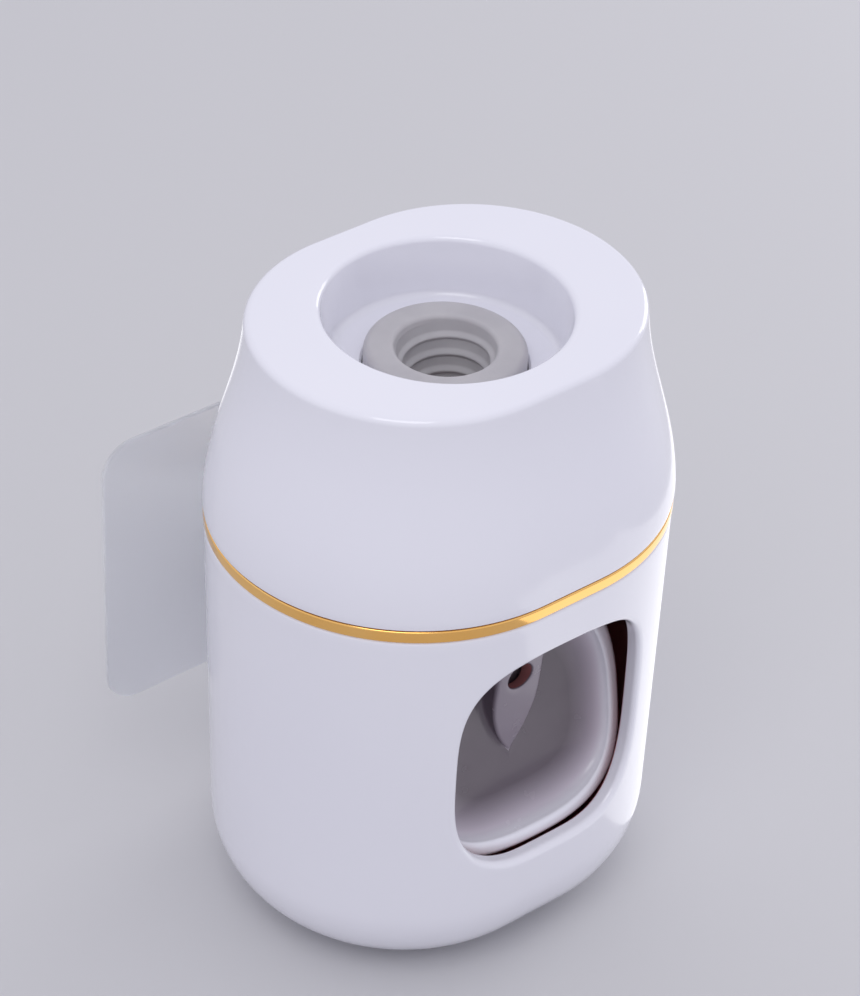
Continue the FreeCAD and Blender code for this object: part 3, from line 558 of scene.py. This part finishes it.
edge_arc = corner(top_radius - top_edge, cover_top - top_edge, top_edge, 0, 90, edge_steps)
bell_outer = bell_curve(top_radius, cover_top - top_edge, belly_radius, cover_foot, bell_steps)[::-1]
outer_profile = np.concatenate([[(belly_radius - foot_edge, cover_foot)], bell_outer[1:-1], edge_arc])
outer_profile[1, 1] = max(outer_profile[1, 1], cover_foot + foot_edge)
outer_rings = np.array([stadium_ring(radius, z) for radius, z in outer_profile])
well_floor = cover_top - well_depth
well_under = well_floor - well_wall
hole_bevel = well_rim / 3
room_top = cover_top - top_wall
well_profile = np.concatenate([
    corner(well_radius + well_rim, cover_top - well_rim, well_rim, 90, 180, well_steps),
    corner(well_floor_radius - well_round, well_floor + well_round, well_round, 0, -90, well_steps),
    [(plug_hole + hole_bevel, well_floor), (plug_hole, well_floor - hole_bevel), (plug_hole, well_under)],
    corner(well_floor_radius + well_wall - well_round, well_under + well_round, well_round,
           -90, 0, under_steps),
    [(well_radius + well_wall, room_top)],
])
well_rings = np.array([round_ring(radius, z) for radius, z in well_profile])
room_radius = top_radius - cover_wall
room_profile = np.concatenate([
    corner(room_radius - top_edge, room_top - top_edge, top_edge, 90, 0, room_edge_steps),
    bell_curve(room_radius, room_top - top_edge, belly_radius - cover_wall, skirt_top, room_steps)[1:],
    [(skirt_radius, skirt_top), (skirt_radius, cover_foot)],
])
room_rings = np.array([stadium_ring(radius, z) for radius, z in room_profile])
cover_rings = np.concatenate([
    outer_rings, between(outer_rings[-1], well_rings[0], span_steps), well_rings,
    between(well_rings[-1], room_rings[0], under_span_steps), room_rings,
])
top_cover = skin("top_cover", cover_rings, looped=True)
top_cover.data.materials.append(gloss_white)
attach(top_cover, "cover")
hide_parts("upper_shell")


# Tube plug: matt translucent silicone moulding in the well, with a tapered socket in its middle.
# Thread ridges wind down the socket, and a flange under it is held in its seat.
plug_radius = 0.0118
plug_edge = 0.0012
plug_flange_radius = (plug_high.y - plug_low.y) / 2
plug_flange = 0.0028
socket_mouth = 0.0075
socket_end = 0.0047
socket_lip = 0.0008
thread_pitch = 0.0026
thread_height = 0.00055
thread_runout = 0.0016
thread_power = 1.5
socket_steps = 80
socket_lip_steps = 8
plug_edge_steps = 10
flange_edge_steps = 5
plug_around = 144
silicone_colour = (0.43, 0.415, 0.435, 1.0)
silicone_colour_pale = (0.48, 0.465, 0.48, 1.0)
silicone_sockets = {"Subsurface Weight": 0.25, "Subsurface Radius": (0.0035, 0.003, 0.003),
                    "Subsurface Scale": 1.0, "Sheen Weight": 0.08}


def full_turn(count):
    """Angles once round, evenly spaced."""
    return np.linspace(0, 2 * np.pi, count, endpoint=False)


def turned(profile, around, centre=(0.0, body_y), threads=None):
    """Profile of radius and height turned about an upright axis; threads says how far ridges stand in."""
    angle = full_turn(around)[None, :]
    radius, z = np.asarray(profile)[:, :1], np.asarray(profile)[:, 1:]
    if threads is not None:
        turn = (z - plug_high.z) / thread_pitch + angle / (2 * np.pi)
        radius = radius - threads[:, None] * np.maximum(np.cos(2 * np.pi * turn), 0) ** thread_power
    x, y = centre[0] + radius * np.cos(angle), centre[1] + radius * np.sin(angle)
    return np.stack([x, y, z + 0 * angle], axis=-1)


socket_z = np.linspace(plug_high.z - socket_lip, plug_low.z, socket_steps)
socket_share = (plug_high.z - socket_z) / (plug_high.z - plug_low.z)
socket_radius = socket_mouth + (socket_end - socket_mouth) * socket_share
flange_z = plug_low.z + plug_flange
plug_profile = np.concatenate([
    np.stack([socket_radius, socket_z], axis=-1)[::-1],
    corner(socket_radius[0] + socket_lip, plug_high.z - socket_lip, socket_lip, 180, 90, socket_lip_steps),
    corner(plug_radius - plug_edge, plug_high.z - plug_edge, plug_edge, 90, 0, plug_edge_steps),
    [(plug_radius, flange_z)],
    corner(plug_flange_radius - plug_edge / 2, flange_z - plug_edge / 2, plug_edge / 2,
           90, 0, flange_edge_steps),
    [(plug_flange_radius, plug_low.z)],
])
run_in = np.clip((plug_high.z - socket_lip - socket_z) / thread_runout, 0, 1)
run_out = np.clip((socket_z - plug_low.z) / thread_runout, 0, 1)
ridges = np.zeros(len(plug_profile))
ridges[:len(socket_z)] = (thread_height * np.minimum(run_in, run_out))[::-1]
tube_plug = skin("tube_plug", turned(plug_profile, plug_around, threads=ridges), looped=True)
silicone = surface("silicone", silicone_colour, 0.55, silicone_sockets)
vary(silicone, grain(silicone, 150.0), "Base Color", silicone_colour, silicone_colour_pale)
vary(silicone, grain(silicone, 700.0), "Roughness", 0.48, 0.64)
relief(silicone, grain(silicone, 1600.0), 0.00004, 0.35)
tube_plug.data.materials.append(silicone)
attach(tube_plug, "housing")
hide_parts("inlet_plug")


# Brush plate: white moulded dish on a pin behind the opening, which swings back when a brush pushes it.
# A raised nose tapers down its middle, with the hole that the paste comes out of near the top.
swing = next(joint for joint in frame["joints"] if joint["name"] == "plate_swing")
hinge_y, hinge_z = swing["pos_m"][1:]
rest_tilt = np.radians(9.4)
rim_half_width = opening_half_width + 0.0027
rim_head = opening_half_height + 0.003
rim_foot = opening_half_height - 0.0019
rim_head_power = 2.3
rim_foot_power = 3.25
rim_drop = 0.0264
rim_forward = 0.0054
rim_width = 0.0026
rim_height = 0.0045
rim_round = 0.0011
rim_inner_round = 0.0006
bow_radius = 0.070
dish_depth = 0.0059
dish_power = 3.0
dish_round = 0.43
plate_wall = 0.002
back_floor_share = 0.56
back_power = 2.6
nose_half_width = 0.0042
nose_top_drop = 0.0104
nose_taper_drop = 0.019
nose_tip_drop = 0.0312
nose_tip_grow = 1.8
nose_cap_share = 0.8
nose_cap_power = 2.4
nose_recess = 0.0016
nose_edge = 0.00045
nose_foot = 0.0006
paste_hole = 0.0022
paste_hole_drop = 0.016
hole_edge = 0.0003
spout_room = 0.0033
nose_wall = 0.0024
plate_around = 220
outline_steps = 1440
nose_steps = 720
hole_steps = 5
leaf_steps = 9
leaf_edge_steps = 6
leaf_edge_start = 15
flank_steps = 8
dish_steps = 34
brim_steps = 7
rim_steps = 9
back_face_steps = 9
flank_power = 3
flank_curve = 1.6
dish_crowding = 1.8
rim_lean = 1.5
# Shares of painted shade on the ramp from white to dark: on the nose, on the dish and on the nose's flanks.
nose_painted_shade = 0.56
dish_painted_shade = 0.80
flank_painted_shade = 0.875


def evenly(x, z, count):
    """Points evenly spaced along a closed line that starts at its top, worked out from a dense one."""
    x, z = np.append(x, x[0]), np.append(z, z[0])
    run = np.concatenate([[0], np.cumsum(np.hypot(np.diff(x), np.diff(z)))])
    place = np.linspace(0, run[-1], count, endpoint=False)
    return np.interp(place, run, x), np.interp(place, run, z)


def plate_reach(x, z, inset):
    """How far out a place of the plate lies: 0 at the middle, 1 on the outline in from its edge by inset."""
    head = z > -rim_drop
    height = np.where(head, rim_head, rim_foot) - inset
    power = np.where(head, rim_head_power, rim_foot_power)
    wide = np.abs(x / (rim_half_width - inset)) ** power
    return (wide + np.abs((z + rim_drop) / height) ** power) ** (1 / power)


def plate_outline(inset):
    """Outline of the plate in from its edge by inset, clockwise from its top centre."""
    angle = np.pi / 2 - full_turn(outline_steps)
    x, z = np.cos(angle), np.sin(angle)
    reach = 1 / plate_reach(x, z - rim_drop, inset)
    x, z = evenly(reach * x, reach * z, plate_around)
    return x, z - rim_drop


def nose_outline(grow):
    """Leaf of the nose: rounded at the top, sides that close in on a curve to the tip at the bottom."""
    share = np.linspace(0, 1, nose_steps)
    top, tip = nose_top_drop - grow, nose_tip_drop + nose_tip_grow * grow
    taper = (nose_taper_drop - top) / (tip - top)
    cap = np.minimum(share * (tip - top) / (nose_half_width * nose_cap_share), 1)
    half = (nose_half_width + grow) * (1 - (1 - cap) ** nose_cap_power) ** (1 / nose_cap_power)
    half = half * (1 - (np.maximum(share - taper, 0) / (1 - taper)) ** 2)
    z = -top - share * (tip - top)
    return evenly(np.concatenate([half, -half[::-1]]), np.concatenate([z, z[::-1]]), plate_around)


def bow_y(x):
    """Y of the rim's front, which bows back to the sides like the body's wall."""
    return -rim_forward + bow_radius - np.sqrt(bow_radius ** 2 - x ** 2)


def dish_share(x, z):
    """Depth of the dish over a place as a share: steep under the rim, nearly flat in the middle."""
    out = np.clip(plate_reach(x, z, rim_width), 0, 1)
    return (1 - out ** dish_power) ** dish_round


def dish_y(x, z):
    """Y of the dish over a place on the plate, between the rim's inner edge and the floor."""
    rim = bow_y(x) + rim_inner_round
    return rim + (dish_depth - rim_forward - rim) * dish_share(x, z)


nose_slope = (dish_depth - nose_recess) / (nose_tip_drop - paste_hole_drop)


def nose_y(z):
    """Y of the nose's face, which slopes back from above the hole to the dish at the tip."""
    return -rim_forward + nose_recess + nose_slope * (-z - paste_hole_drop)


def plate_ring(x, z, y):
    """Ring of the plate, drawn upright about the hinge axis, tilted to rest and moved to the hinge."""
    y = y + 0 * x
    return np.stack([x, hinge_y + y * np.cos(rest_tilt) + z * np.sin(rest_tilt),
                     hinge_z + z * np.cos(rest_tilt) - y * np.sin(rest_tilt)], axis=-1)


around_turn = np.pi / 2 - full_turn(plate_around)


def hole_ring(radius):
    """Circle round the paste hole, clockwise from its top."""
    return radius * np.cos(around_turn), radius * np.sin(around_turn) - paste_hole_drop


plate_rings = []
plate_painted_shades = []


def add_ring(x, z, y, tint=0.0):
    """Adds a ring of the plate, and how deep its painted shade is there."""
    plate_rings.append(plate_ring(x, z, y))
    plate_painted_shades.append(tint + 0 * x)


room_y = -rim_forward + nose_recess + nose_wall
plate_back = dish_depth - rim_forward + plate_wall
add_ring(*hole_ring(spout_room), plate_back)
# The spout room and the wall of the paste hole get the full painted shade, the pump's dark red.
add_ring(*hole_ring(spout_room), room_y, 1.0)
add_ring(*hole_ring(paste_hole), room_y, 1.0)
for turn in quarter(hole_steps):
    x, z = hole_ring(paste_hole + hole_edge * (1 - np.cos(turn)))
    add_ring(x, z, nose_y(z) + hole_edge * (1 - np.sin(turn)), 1.0 + (nose_painted_shade - 1.0) * np.sin(turn))
eye = np.array([x, z])
leaf = np.array(nose_outline(-nose_edge))
for share in np.linspace(0, 1, leaf_steps)[1:]:
    x, z = eye + (leaf - eye) * share
    add_ring(x, z, np.minimum(nose_y(z), dish_y(x, z)), nose_painted_shade)
for turn in quarter(leaf_edge_steps, leaf_edge_start):
    x, z = nose_outline(-nose_edge * (1 - np.sin(turn)))
    add_ring(x, z, np.minimum(nose_y(z) + nose_edge * (1 - np.cos(turn)), dish_y(x, z)), nose_painted_shade)
flank = np.array(nose_outline(0.0))
flank_y = np.minimum(nose_y(flank[1]) + nose_edge, dish_y(*flank))
foot = np.array(nose_outline(nose_foot))
foot_y = dish_y(*foot)
for share in np.linspace(0, 1, flank_steps)[1:]:
    x, z = flank + (foot - flank) * share ** flank_power
    y = flank_y + (foot_y - flank_y) * (1 - (1 - share) ** flank_curve)
    add_ring(x, z, y, dish_painted_shade * np.maximum(flank_painted_shade, dish_share(x, z)))
brim = np.array(plate_outline(rim_width))
for share in 1 - (1 - np.linspace(0, 1, dish_steps)[1:]) ** dish_crowding:
    x, z = foot + (brim - foot) * share
    add_ring(x, z, dish_y(x, z), dish_painted_shade * dish_share(x, z))
for turn in quarter(brim_steps)[1:]:
    x, z = plate_outline(rim_width - rim_lean * rim_inner_round * (1 - np.cos(turn)))
    add_ring(x, z, bow_y(x) + rim_inner_round * (1 - np.sin(turn)))
for turn in quarter(rim_steps):
    x, z = plate_outline(rim_round * (1 - np.sin(turn)))
    add_ring(x, z, bow_y(x) + rim_round * (1 - np.cos(turn)))
edge_x, edge_z = plate_outline(0.0)
edge_y = np.maximum(-rim_forward + rim_height, bow_y(edge_x) + rim_round)
for share in np.linspace(0, 1, back_face_steps):
    shrink = 1 - (1 - back_floor_share) * share ** back_power
    x, z = edge_x * shrink, (edge_z + rim_drop) * shrink - rim_drop
    add_ring(x, z, edge_y + (plate_back - edge_y) * share)
brush_plate = skin("brush_plate", plate_rings, looped=True, tint=np.concatenate(plate_painted_shades))
ear_outer = 0.0156
ear_width = 0.003
ear_radius = 0.0034
ear_edge = 0.0004
ear_toe = (rim_height - rim_forward, -0.012)
ear_heel = (plate_back / 2, -0.018)
pin_hole = 0.0013
stop_radius = 0.0012
stop_forward = 0.007
stop_height = 0.00475
post_soft = 0.12
post_around = 48
ear_around = 96
pad_boss_radius = 0.005
pad_boss_drop = rim_drop + 0.0099
pad_boss_stand = 0.0004


def plate_post(name, drop, radius, y_front, y_back):
    """Round post in the middle of the plate that runs from front to back, with softened ends."""
    soft = radius * post_soft
    turn = full_turn(post_around)
    rings = []
    for share, y in ((0, y_front), (1 - post_soft, y_front), (1, y_front + soft),
                     (1, y_back - soft), (1 - post_soft, y_back), (0, y_back)):
        rings.append(plate_ring(share * radius * np.cos(turn), share * radius * np.sin(turn) - drop, y))
    return skin(name, rings)


def plate_ear(name, x_low, x_high):
    """Ear of the plate: an eye round the hinge pin that runs down into the plate's back."""
    turn = full_turn(ear_around)
    loop = np.array([(-ear_radius, 0), ear_toe, ear_heel, (ear_radius, 0)])
    share = np.linspace(0, 1, 60, endpoint=False)[:, None]
    run = np.concatenate([loop[i] + (loop[i + 1] - loop[i]) * share for i in range(3)])
    angle = np.arctan2(run[:, 1], run[:, 0]) % (2 * np.pi)
    reach = np.interp(turn, angle, np.hypot(run[:, 0], run[:, 1]), left=ear_radius, right=ear_radius)
    reach = np.where(np.sin(turn) >= 0, ear_radius, np.maximum(reach, ear_radius))
    rings = []
    for radius, x in ((pin_hole, x_low), (reach - ear_edge, x_low), (reach, x_low + ear_edge),
                      (reach, x_high - ear_edge), (reach - ear_edge, x_high), (pin_hole, x_high)):
        rings.append(plate_ring(x + 0 * turn, radius * np.sin(turn), radius * np.cos(turn)))
    return skin(name, rings, looped=True)


def stop_finger(name, x_low, x_high):
    """Finger of an ear, a round-nosed arm that rests under the deck and stops the plate there."""
    turn = np.radians(np.linspace(90, 225, 12))
    tip_y, tip_z = stop_radius * np.cos(turn) - stop_forward, stop_radius * np.sin(turn) + stop_height
    tip = np.stack([tip_y, tip_z], axis=-1)
    loop = np.concatenate([[(0.0, ear_radius)], tip, [(-ear_radius, 0.0)]])
    middle = loop.mean(axis=0)
    rings = []
    for share, x in ((0, x_low), (1, x_low), (1, x_high), (0, x_high)):
        y, z = (middle + share * (loop - middle)).T
        rings.append(np.stack([x + 0 * y, hinge_y + y, hinge_z + z], axis=-1))
    return skin(name, rings)


def joined(piece, extras):
    """Adds the meshes of other objects to a piece and removes those objects."""
    work = bmesh.new()
    work.from_mesh(piece.data)
    for extra in extras:
        work.from_mesh(extra.data)
        bpy.data.objects.remove(extra)
    work.to_mesh(piece.data)
    work.free()


plate_extras = [plate_post("pad_boss", pad_boss_drop, pad_boss_radius, 0.5 * plate_back,
                           plate_back + pad_boss_stand)]
for ear_low in (-ear_outer, ear_outer - ear_width):
    plate_extras.append(plate_ear("ear", ear_low, ear_low + ear_width))
    plate_extras.append(stop_finger("finger", ear_low, ear_low + ear_width))
joined(brush_plate, plate_extras)
core_colour = (0.30, 0.12, 0.12, 1.0)
# Painted shade of the dish: white at the rim, then mauve-grey, near black towards the middle and the nose,
# and the pump's dark red down the paste hole.
dish_mid_shade = (0.48, 0.43, 0.50, 1.0)
dish_deep_shade = (0.105, 0.083, 0.106, 1.0)
dish_shade_colours = ((0.1, white_colour), (0.36, dish_mid_shade), (0.68, dish_deep_shade), (0.8, dish_deep_shade),
                (1.0, core_colour))
plate_sockets = {"Coat Weight": 0.1, "Coat Roughness": 0.04, "IOR": 1.52}
plate_white = surface("plate_white", white_colour, 0.14, plate_sockets)
plate_nodes, plate_links = plate_white.node_tree.nodes, plate_white.node_tree.links
painted_shade_value = plate_nodes.new("ShaderNodeAttribute")
painted_shade_value.attribute_name = "tint"
painted_shade_ramp = plate_nodes.new("ShaderNodeValToRGB")
for position, colour in dish_shade_colours[1:-1]:
    painted_shade_ramp.color_ramp.elements.new(position)
for element, (position, colour) in zip(painted_shade_ramp.color_ramp.elements, dish_shade_colours):
    element.position = position
    element.color = colour
plate_links.new(painted_shade_value.outputs["Fac"], painted_shade_ramp.inputs["Fac"])
plate_links.new(painted_shade_ramp.outputs["Color"], plate_nodes["Principled BSDF"].inputs["Base Color"])
vary(plate_white, grain(plate_white, 240.0), "Roughness", 0.2, 0.28)
relief(plate_white, grain(plate_white, 420.0, 2.0), 0.00002, 0.12)
brush_plate.data.materials.append(plate_white)
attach(brush_plate, "push_plate")
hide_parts("push_plate")


# Pump and its seat: satin mouldings, silicone seals and steel fasteners, all inside the body.
# They show through the gaps round the plate and when the cover is lifted.
core_nodes = ["core_deck", "plug_seat", "plug_retainer", "valve_cage", "pump_chamber", "clamp_ring",
              "plunger", "spout"]
seal_nodes = ["inlet_seal", "inlet_valve", "outlet_valve", "presser_pad"]
steel_nodes = ["clamp_screws", "hinge_pin"]
core_colour_deep = (0.26, 0.10, 0.10, 1.0)
steel_colour = (0.56, 0.56, 0.57, 1.0)
core_plastic = surface("core_plastic", core_colour, 0.42)
vary(core_plastic, grain(core_plastic, 45.0), "Base Color", core_colour, core_colour_deep)
vary(core_plastic, grain(core_plastic, 400.0), "Roughness", 0.36, 0.5)
relief(core_plastic, grain(core_plastic, 2200.0), 0.00003, 0.3)
steel = surface("steel", steel_colour, 0.28, {"Metallic": 1.0})
vary(steel, grain(steel, 900.0, 4.0, (1.0, 1.0, 0.1)), "Roughness", 0.2, 0.36)
clothe(core_nodes, core_plastic)
clothe(seal_nodes, silicone)
clothe(steel_nodes, steel)


# Screws: bright steel pan heads with a cross recess. Four hold the deck, and four hang the pump from it.
# Those of the deck bite into round bosses that are moulded inside the lower body.
# Sizes of a screw are its head's radius, its head's height and its shank's radius.
deck_screw_sizes = (0.0024, 0.0017, 0.00135)
pump_screw_sizes = (0.00165, 0.0013, 0.00085)
screw_turn = 0.7
cross_arm_share = 0.17
cross_reach_share = 0.6
cross_soft_share = 0.08
cross_depth_share = 0.55
head_dome_share = 0.45
screw_around = 96
head_steps = 30
deck_thickness = 0.002
boss_radius = 0.0034
boss_height = 0.011
boss_around = 48


def screw_places(node, head_radius):
    """Places of four screws in plan, in from the corners of their node's box by the head's radius."""
    low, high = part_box(node)
    return [(x, y) for x in (low.x + head_radius, high.x - head_radius)
            for y in (low.y + head_radius, high.y - head_radius)]


def pan_screw(name, place, node, sizes, start):
    """Screw turned from start: a domed head with a cross pressed into it, its side, and the shank."""
    head_radius, head_height, shank_radius = sizes
    low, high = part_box(node)
    turn = full_turn(screw_around)[None, :]
    out = np.linspace(0, 1, head_steps)[:, None]
    along, across = np.abs(out * np.cos(turn)), np.abs(out * np.sin(turn))
    arm = np.clip((cross_arm_share - np.minimum(along, across)) / cross_soft_share, 0, 1)
    reach = np.clip((cross_reach_share - np.maximum(along, across)) / cross_soft_share, 0, 1)
    dome = high.z - head_height * (head_dome_share * out ** 3 + cross_depth_share * arm * reach)
    seat = high.z - head_height
    tail = np.array([(head_radius, seat), (shank_radius, seat),
                     (shank_radius, low.z + shank_radius), (0.0, low.z)])
    radius = np.concatenate([out * head_radius, tail[:, :1]])
    z = np.concatenate([dome, tail[:, 1:] + 0 * turn])
    x = place[0] + radius * np.cos(turn + start)
    y = place[1] + radius * np.sin(turn + start)
    return skin(name, np.stack([x, y, z], axis=-1))


for name, node, sizes in (("deck_screw_set", "deck_screws", deck_screw_sizes),
                          ("pump_screw_set", "chamber_screws", pump_screw_sizes)):
    screws = [pan_screw(name, place, node, sizes, screw_turn * number)
              for number, place in enumerate(screw_places(node, sizes[0]))]
    joined(screws[0], screws[1:])
    screws[0].data.materials.append(steel)
    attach(screws[0], "housing")
    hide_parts(node)
boss_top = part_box("deck_screws")[1].z - deck_screw_sizes[1] - deck_thickness
boss_profile = [(0.0, boss_top), (boss_radius, boss_top), (boss_radius, boss_top - boss_height),
                (0.0, boss_top - boss_height - boss_radius)]
boss_places = screw_places("deck_screws", deck_screw_sizes[0])
joined(lower_body, [skin("boss", turned(boss_profile, boss_around, place)) for place in boss_places])
# The bosses inside the body get the same painted shade.
paint_shade_inside(lower_body)


# Pump dome: soft silicone moulding with a flat flange that the clamp ring holds against the pump.
# Its hub goes in with the plunger, and the thin wall round the hub rolls inside out; here it is drawn at rest
# and stays so.
dome_low, dome_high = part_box("diaphragm")
dome_height = 0.0048
dome_hub_thick = 0.0014
dome_wall = 0.0008
dome_hub = 0.0052
dome_root = 0.0104
dome_around = 96
flange_radius = (dome_high.x - dome_low.x) / 2
flange_y = dome_low.y + dome_height
hub_back = dome_low.y + dome_hub_thick
dome_z = (dome_low.z + dome_high.z) / 2
wall_share = np.linspace(0, 1, 32)
wall_ease = wall_share ** 2 * (3 - 2 * wall_share)
outside = np.stack([dome_hub + (dome_root - dome_hub) * wall_share,
                    dome_low.y + dome_height * wall_ease], axis=-1)
inside = outside[outside[:, 1] > hub_back] - np.array([dome_wall, 0.0])
dome_profile = np.concatenate([
    [(0.0, dome_low.y)], outside, [(flange_radius, flange_y), (flange_radius, dome_high.y)],
    [(dome_root - dome_wall, dome_high.y)], inside[::-1], [(inside[0, 0], hub_back), (0.0, hub_back)],
])
dome_turn = full_turn(dome_around)[None, :]
dome_reach, dome_y = dome_profile[:, :1], dome_profile[:, 1:]
dome_rings = np.stack([dome_reach * np.cos(dome_turn), dome_y + 0 * dome_turn,
                       dome_z + dome_reach * np.sin(dome_turn)], axis=-1)
pump_dome = skin("pump_dome", dome_rings)
pump_dome.data.materials.append(silicone)
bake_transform(pump_dome)
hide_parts("diaphragm")


# Return springs: two torsion springs of steel wire, wound on the hinge pin, each with a leg up to the deck.
# The other leg lies on the back of the brush plate; the coil winds up as the plate goes in, but here it is
# drawn at rest.
spring_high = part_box("return_springs")[1]
wire_radius = 0.00035
wire_around = 14
coil_radius = 0.0022
coil_pitch = 0.00115
coil_turns = 3
coil_steps = 160
coil_inset = 0.0016
leg_length = 0.012
leg_angle = np.radians(5.0) - rest_tilt
coil_start = ear_outer - ear_width - coil_inset - wire_radius


def unit(vectors):
    """Vectors brought to a length of one."""
    return vectors / np.linalg.norm(vectors, axis=1, keepdims=True)


def spring_path():
    """Line of the right spring's wire about the hinge: a straight leg, a helix along X, and a leg upwards."""
    climb = coil_pitch / (2 * np.pi)
    angle = np.linspace(leg_angle, 2 * np.pi * coil_turns, coil_steps)
    y, z = coil_radius * np.cos(angle), coil_radius * np.sin(angle)
    coil = np.stack([coil_start - climb * angle, y, z], axis=-1)
    along = unit(np.stack([-climb + 0 * angle, -z, y], axis=-1))
    rise = (spring_high.z - hinge_z) / along[-1, 2]
    low_leg = coil[0] - along[0] * leg_length * np.linspace(1, 0, 12, endpoint=False)[:, None]
    high_leg = coil[-1] + along[-1] * rise * np.linspace(0, 1, 8)[1:, None]
    return np.concatenate([low_leg, coil, high_leg]) + np.array([0.0, hinge_y, hinge_z])


def wire(name, path):
    """Round wire along a path, as rings square to it, with its ends closed."""
    along = unit(np.gradient(path, axis=0))
    aside = unit(np.array([1.0, 0.0, 0.0]) - along[:, :1] * along)
    across = np.cross(along, aside)
    turn = full_turn(wire_around)[None, :, None]
    rings = path[:, None] + wire_radius * (np.cos(turn) * aside[:, None] + np.sin(turn) * across[:, None])
    ends = [np.repeat(path[number][None, None], wire_around, axis=1) for number in (0, -1)]
    return skin(name, np.concatenate([ends[0], rings, ends[1]]))


for name, side in (("spring_left", -1), ("spring_right", 1)):
    spring = wire(name, spring_path() * np.array([side, 1.0, 1.0]))
    spring.data.materials.append(steel)
    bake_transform(spring)
    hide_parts("return_springs")


# Stage: plain pale floor under the object, with an even sky, a soft key light from the left and a rim light.
# A low panel beside the object throws light up its right side, and the camera doesn't see it.
floor_half = 3.0
floor_colour = (0.57, 0.565, 0.58, 1.0)
sky_colour = (0.92, 0.92, 1.0, 1.0)
sky_strength = 0.88
floor_corners = floor_half * np.array([(-1, -1), (1, -1), (1, 1), (-1, 1)])
floor_mesh = bpy.data.meshes.new("floor")
floor_mesh.from_pydata([(x, y, cad_low.z) for x, y in floor_corners], [], [(0, 1, 2, 3)])
floor = placed("floor", floor_mesh)
floor_paint = surface("floor_paint", floor_colour, 0.6)
vary(floor_paint, grain(floor_paint, 6.0), "Roughness", 0.55, 0.7)
floor.data.materials.append(floor_paint)

world = bpy.data.worlds.new("studio")
world.use_nodes = True
bpy.context.scene.world = world
sky = world.node_tree.nodes["Background"]
sky.inputs["Color"].default_value = sky_colour
sky.inputs["Strength"].default_value = sky_strength


def soft_box(name, place, aim, size, power):
    """Rectangular soft light at a place, turned towards a point."""
    light = bpy.data.lights.new(name, "AREA")
    light.shape = "RECTANGLE"
    light.size, light.size_y = size
    light.energy = power
    lamp = placed(name, light)
    backward = Vector(place) - Vector(aim)
    lamp.matrix_world = Matrix.LocRotScale(place, backward.to_track_quat("Z", "Y"), None)
    return lamp


body_middle = (0.0, body_y, 0.0)
panel_x = 0.085
panel_height = 0.003
panel_place = (panel_x, body_y, cad_low.z + panel_height)
above_panel = (panel_x, body_y, 1.0)
soft_box("key_light", place=(-0.35, -0.33, 0.75), aim=body_middle, size=(0.4, 0.4), power=1.3)
soft_box("rim_light", place=(0.55, 0.06, 0.14), aim=body_middle, size=(0.25, 0.3), power=0.6)
bounce_light = soft_box("bounce_light", panel_place, above_panel, size=(0.11, 0.3), power=0.07)
bounce_light.visible_camera = False


# Camera: at the photograph's angle, with its lens worked out for a frame 996 pixels high.
# The distance, the roll and the aim follow the edges of the top, the band and the opening.
view_azimuth, view_elevation, view_roll = np.radians([-39.61, 37.17, 2.32])
view_distance = 0.5191
aim_right, aim_up = 0.00246, 0.02696
camera_back = np.array([np.sin(view_azimuth) * np.cos(view_elevation),
                        -np.cos(view_azimuth) * np.cos(view_elevation), np.sin(view_elevation)])
level_right = np.array([np.cos(view_azimuth), np.sin(view_azimuth), 0.0])
level_up = np.cross(camera_back, level_right)
camera_right = np.cos(view_roll) * level_right + np.sin(view_roll) * level_up
camera_up = np.cos(view_roll) * level_up - np.sin(view_roll) * level_right
camera_place = np.array([0.0, body_y, cover_top]) + view_distance * camera_back
camera_place = camera_place - aim_right * camera_right - aim_up * camera_up
camera_data = bpy.data.cameras.new("camera")
camera_data.sensor_width = 36.0
camera_data.lens = 132.93
camera_data.clip_start = 0.01
camera = placed("camera", camera_data)
camera_frame = np.eye(4)
camera_frame[:3, :3] = np.stack([camera_right, camera_up, camera_back], axis=1)
camera_frame[:3, 3] = camera_place
camera.matrix_world = Matrix(camera_frame.tolist())
bpy.context.scene.camera = camera
bpy.context.scene.view_settings.view_transform = "Standard"
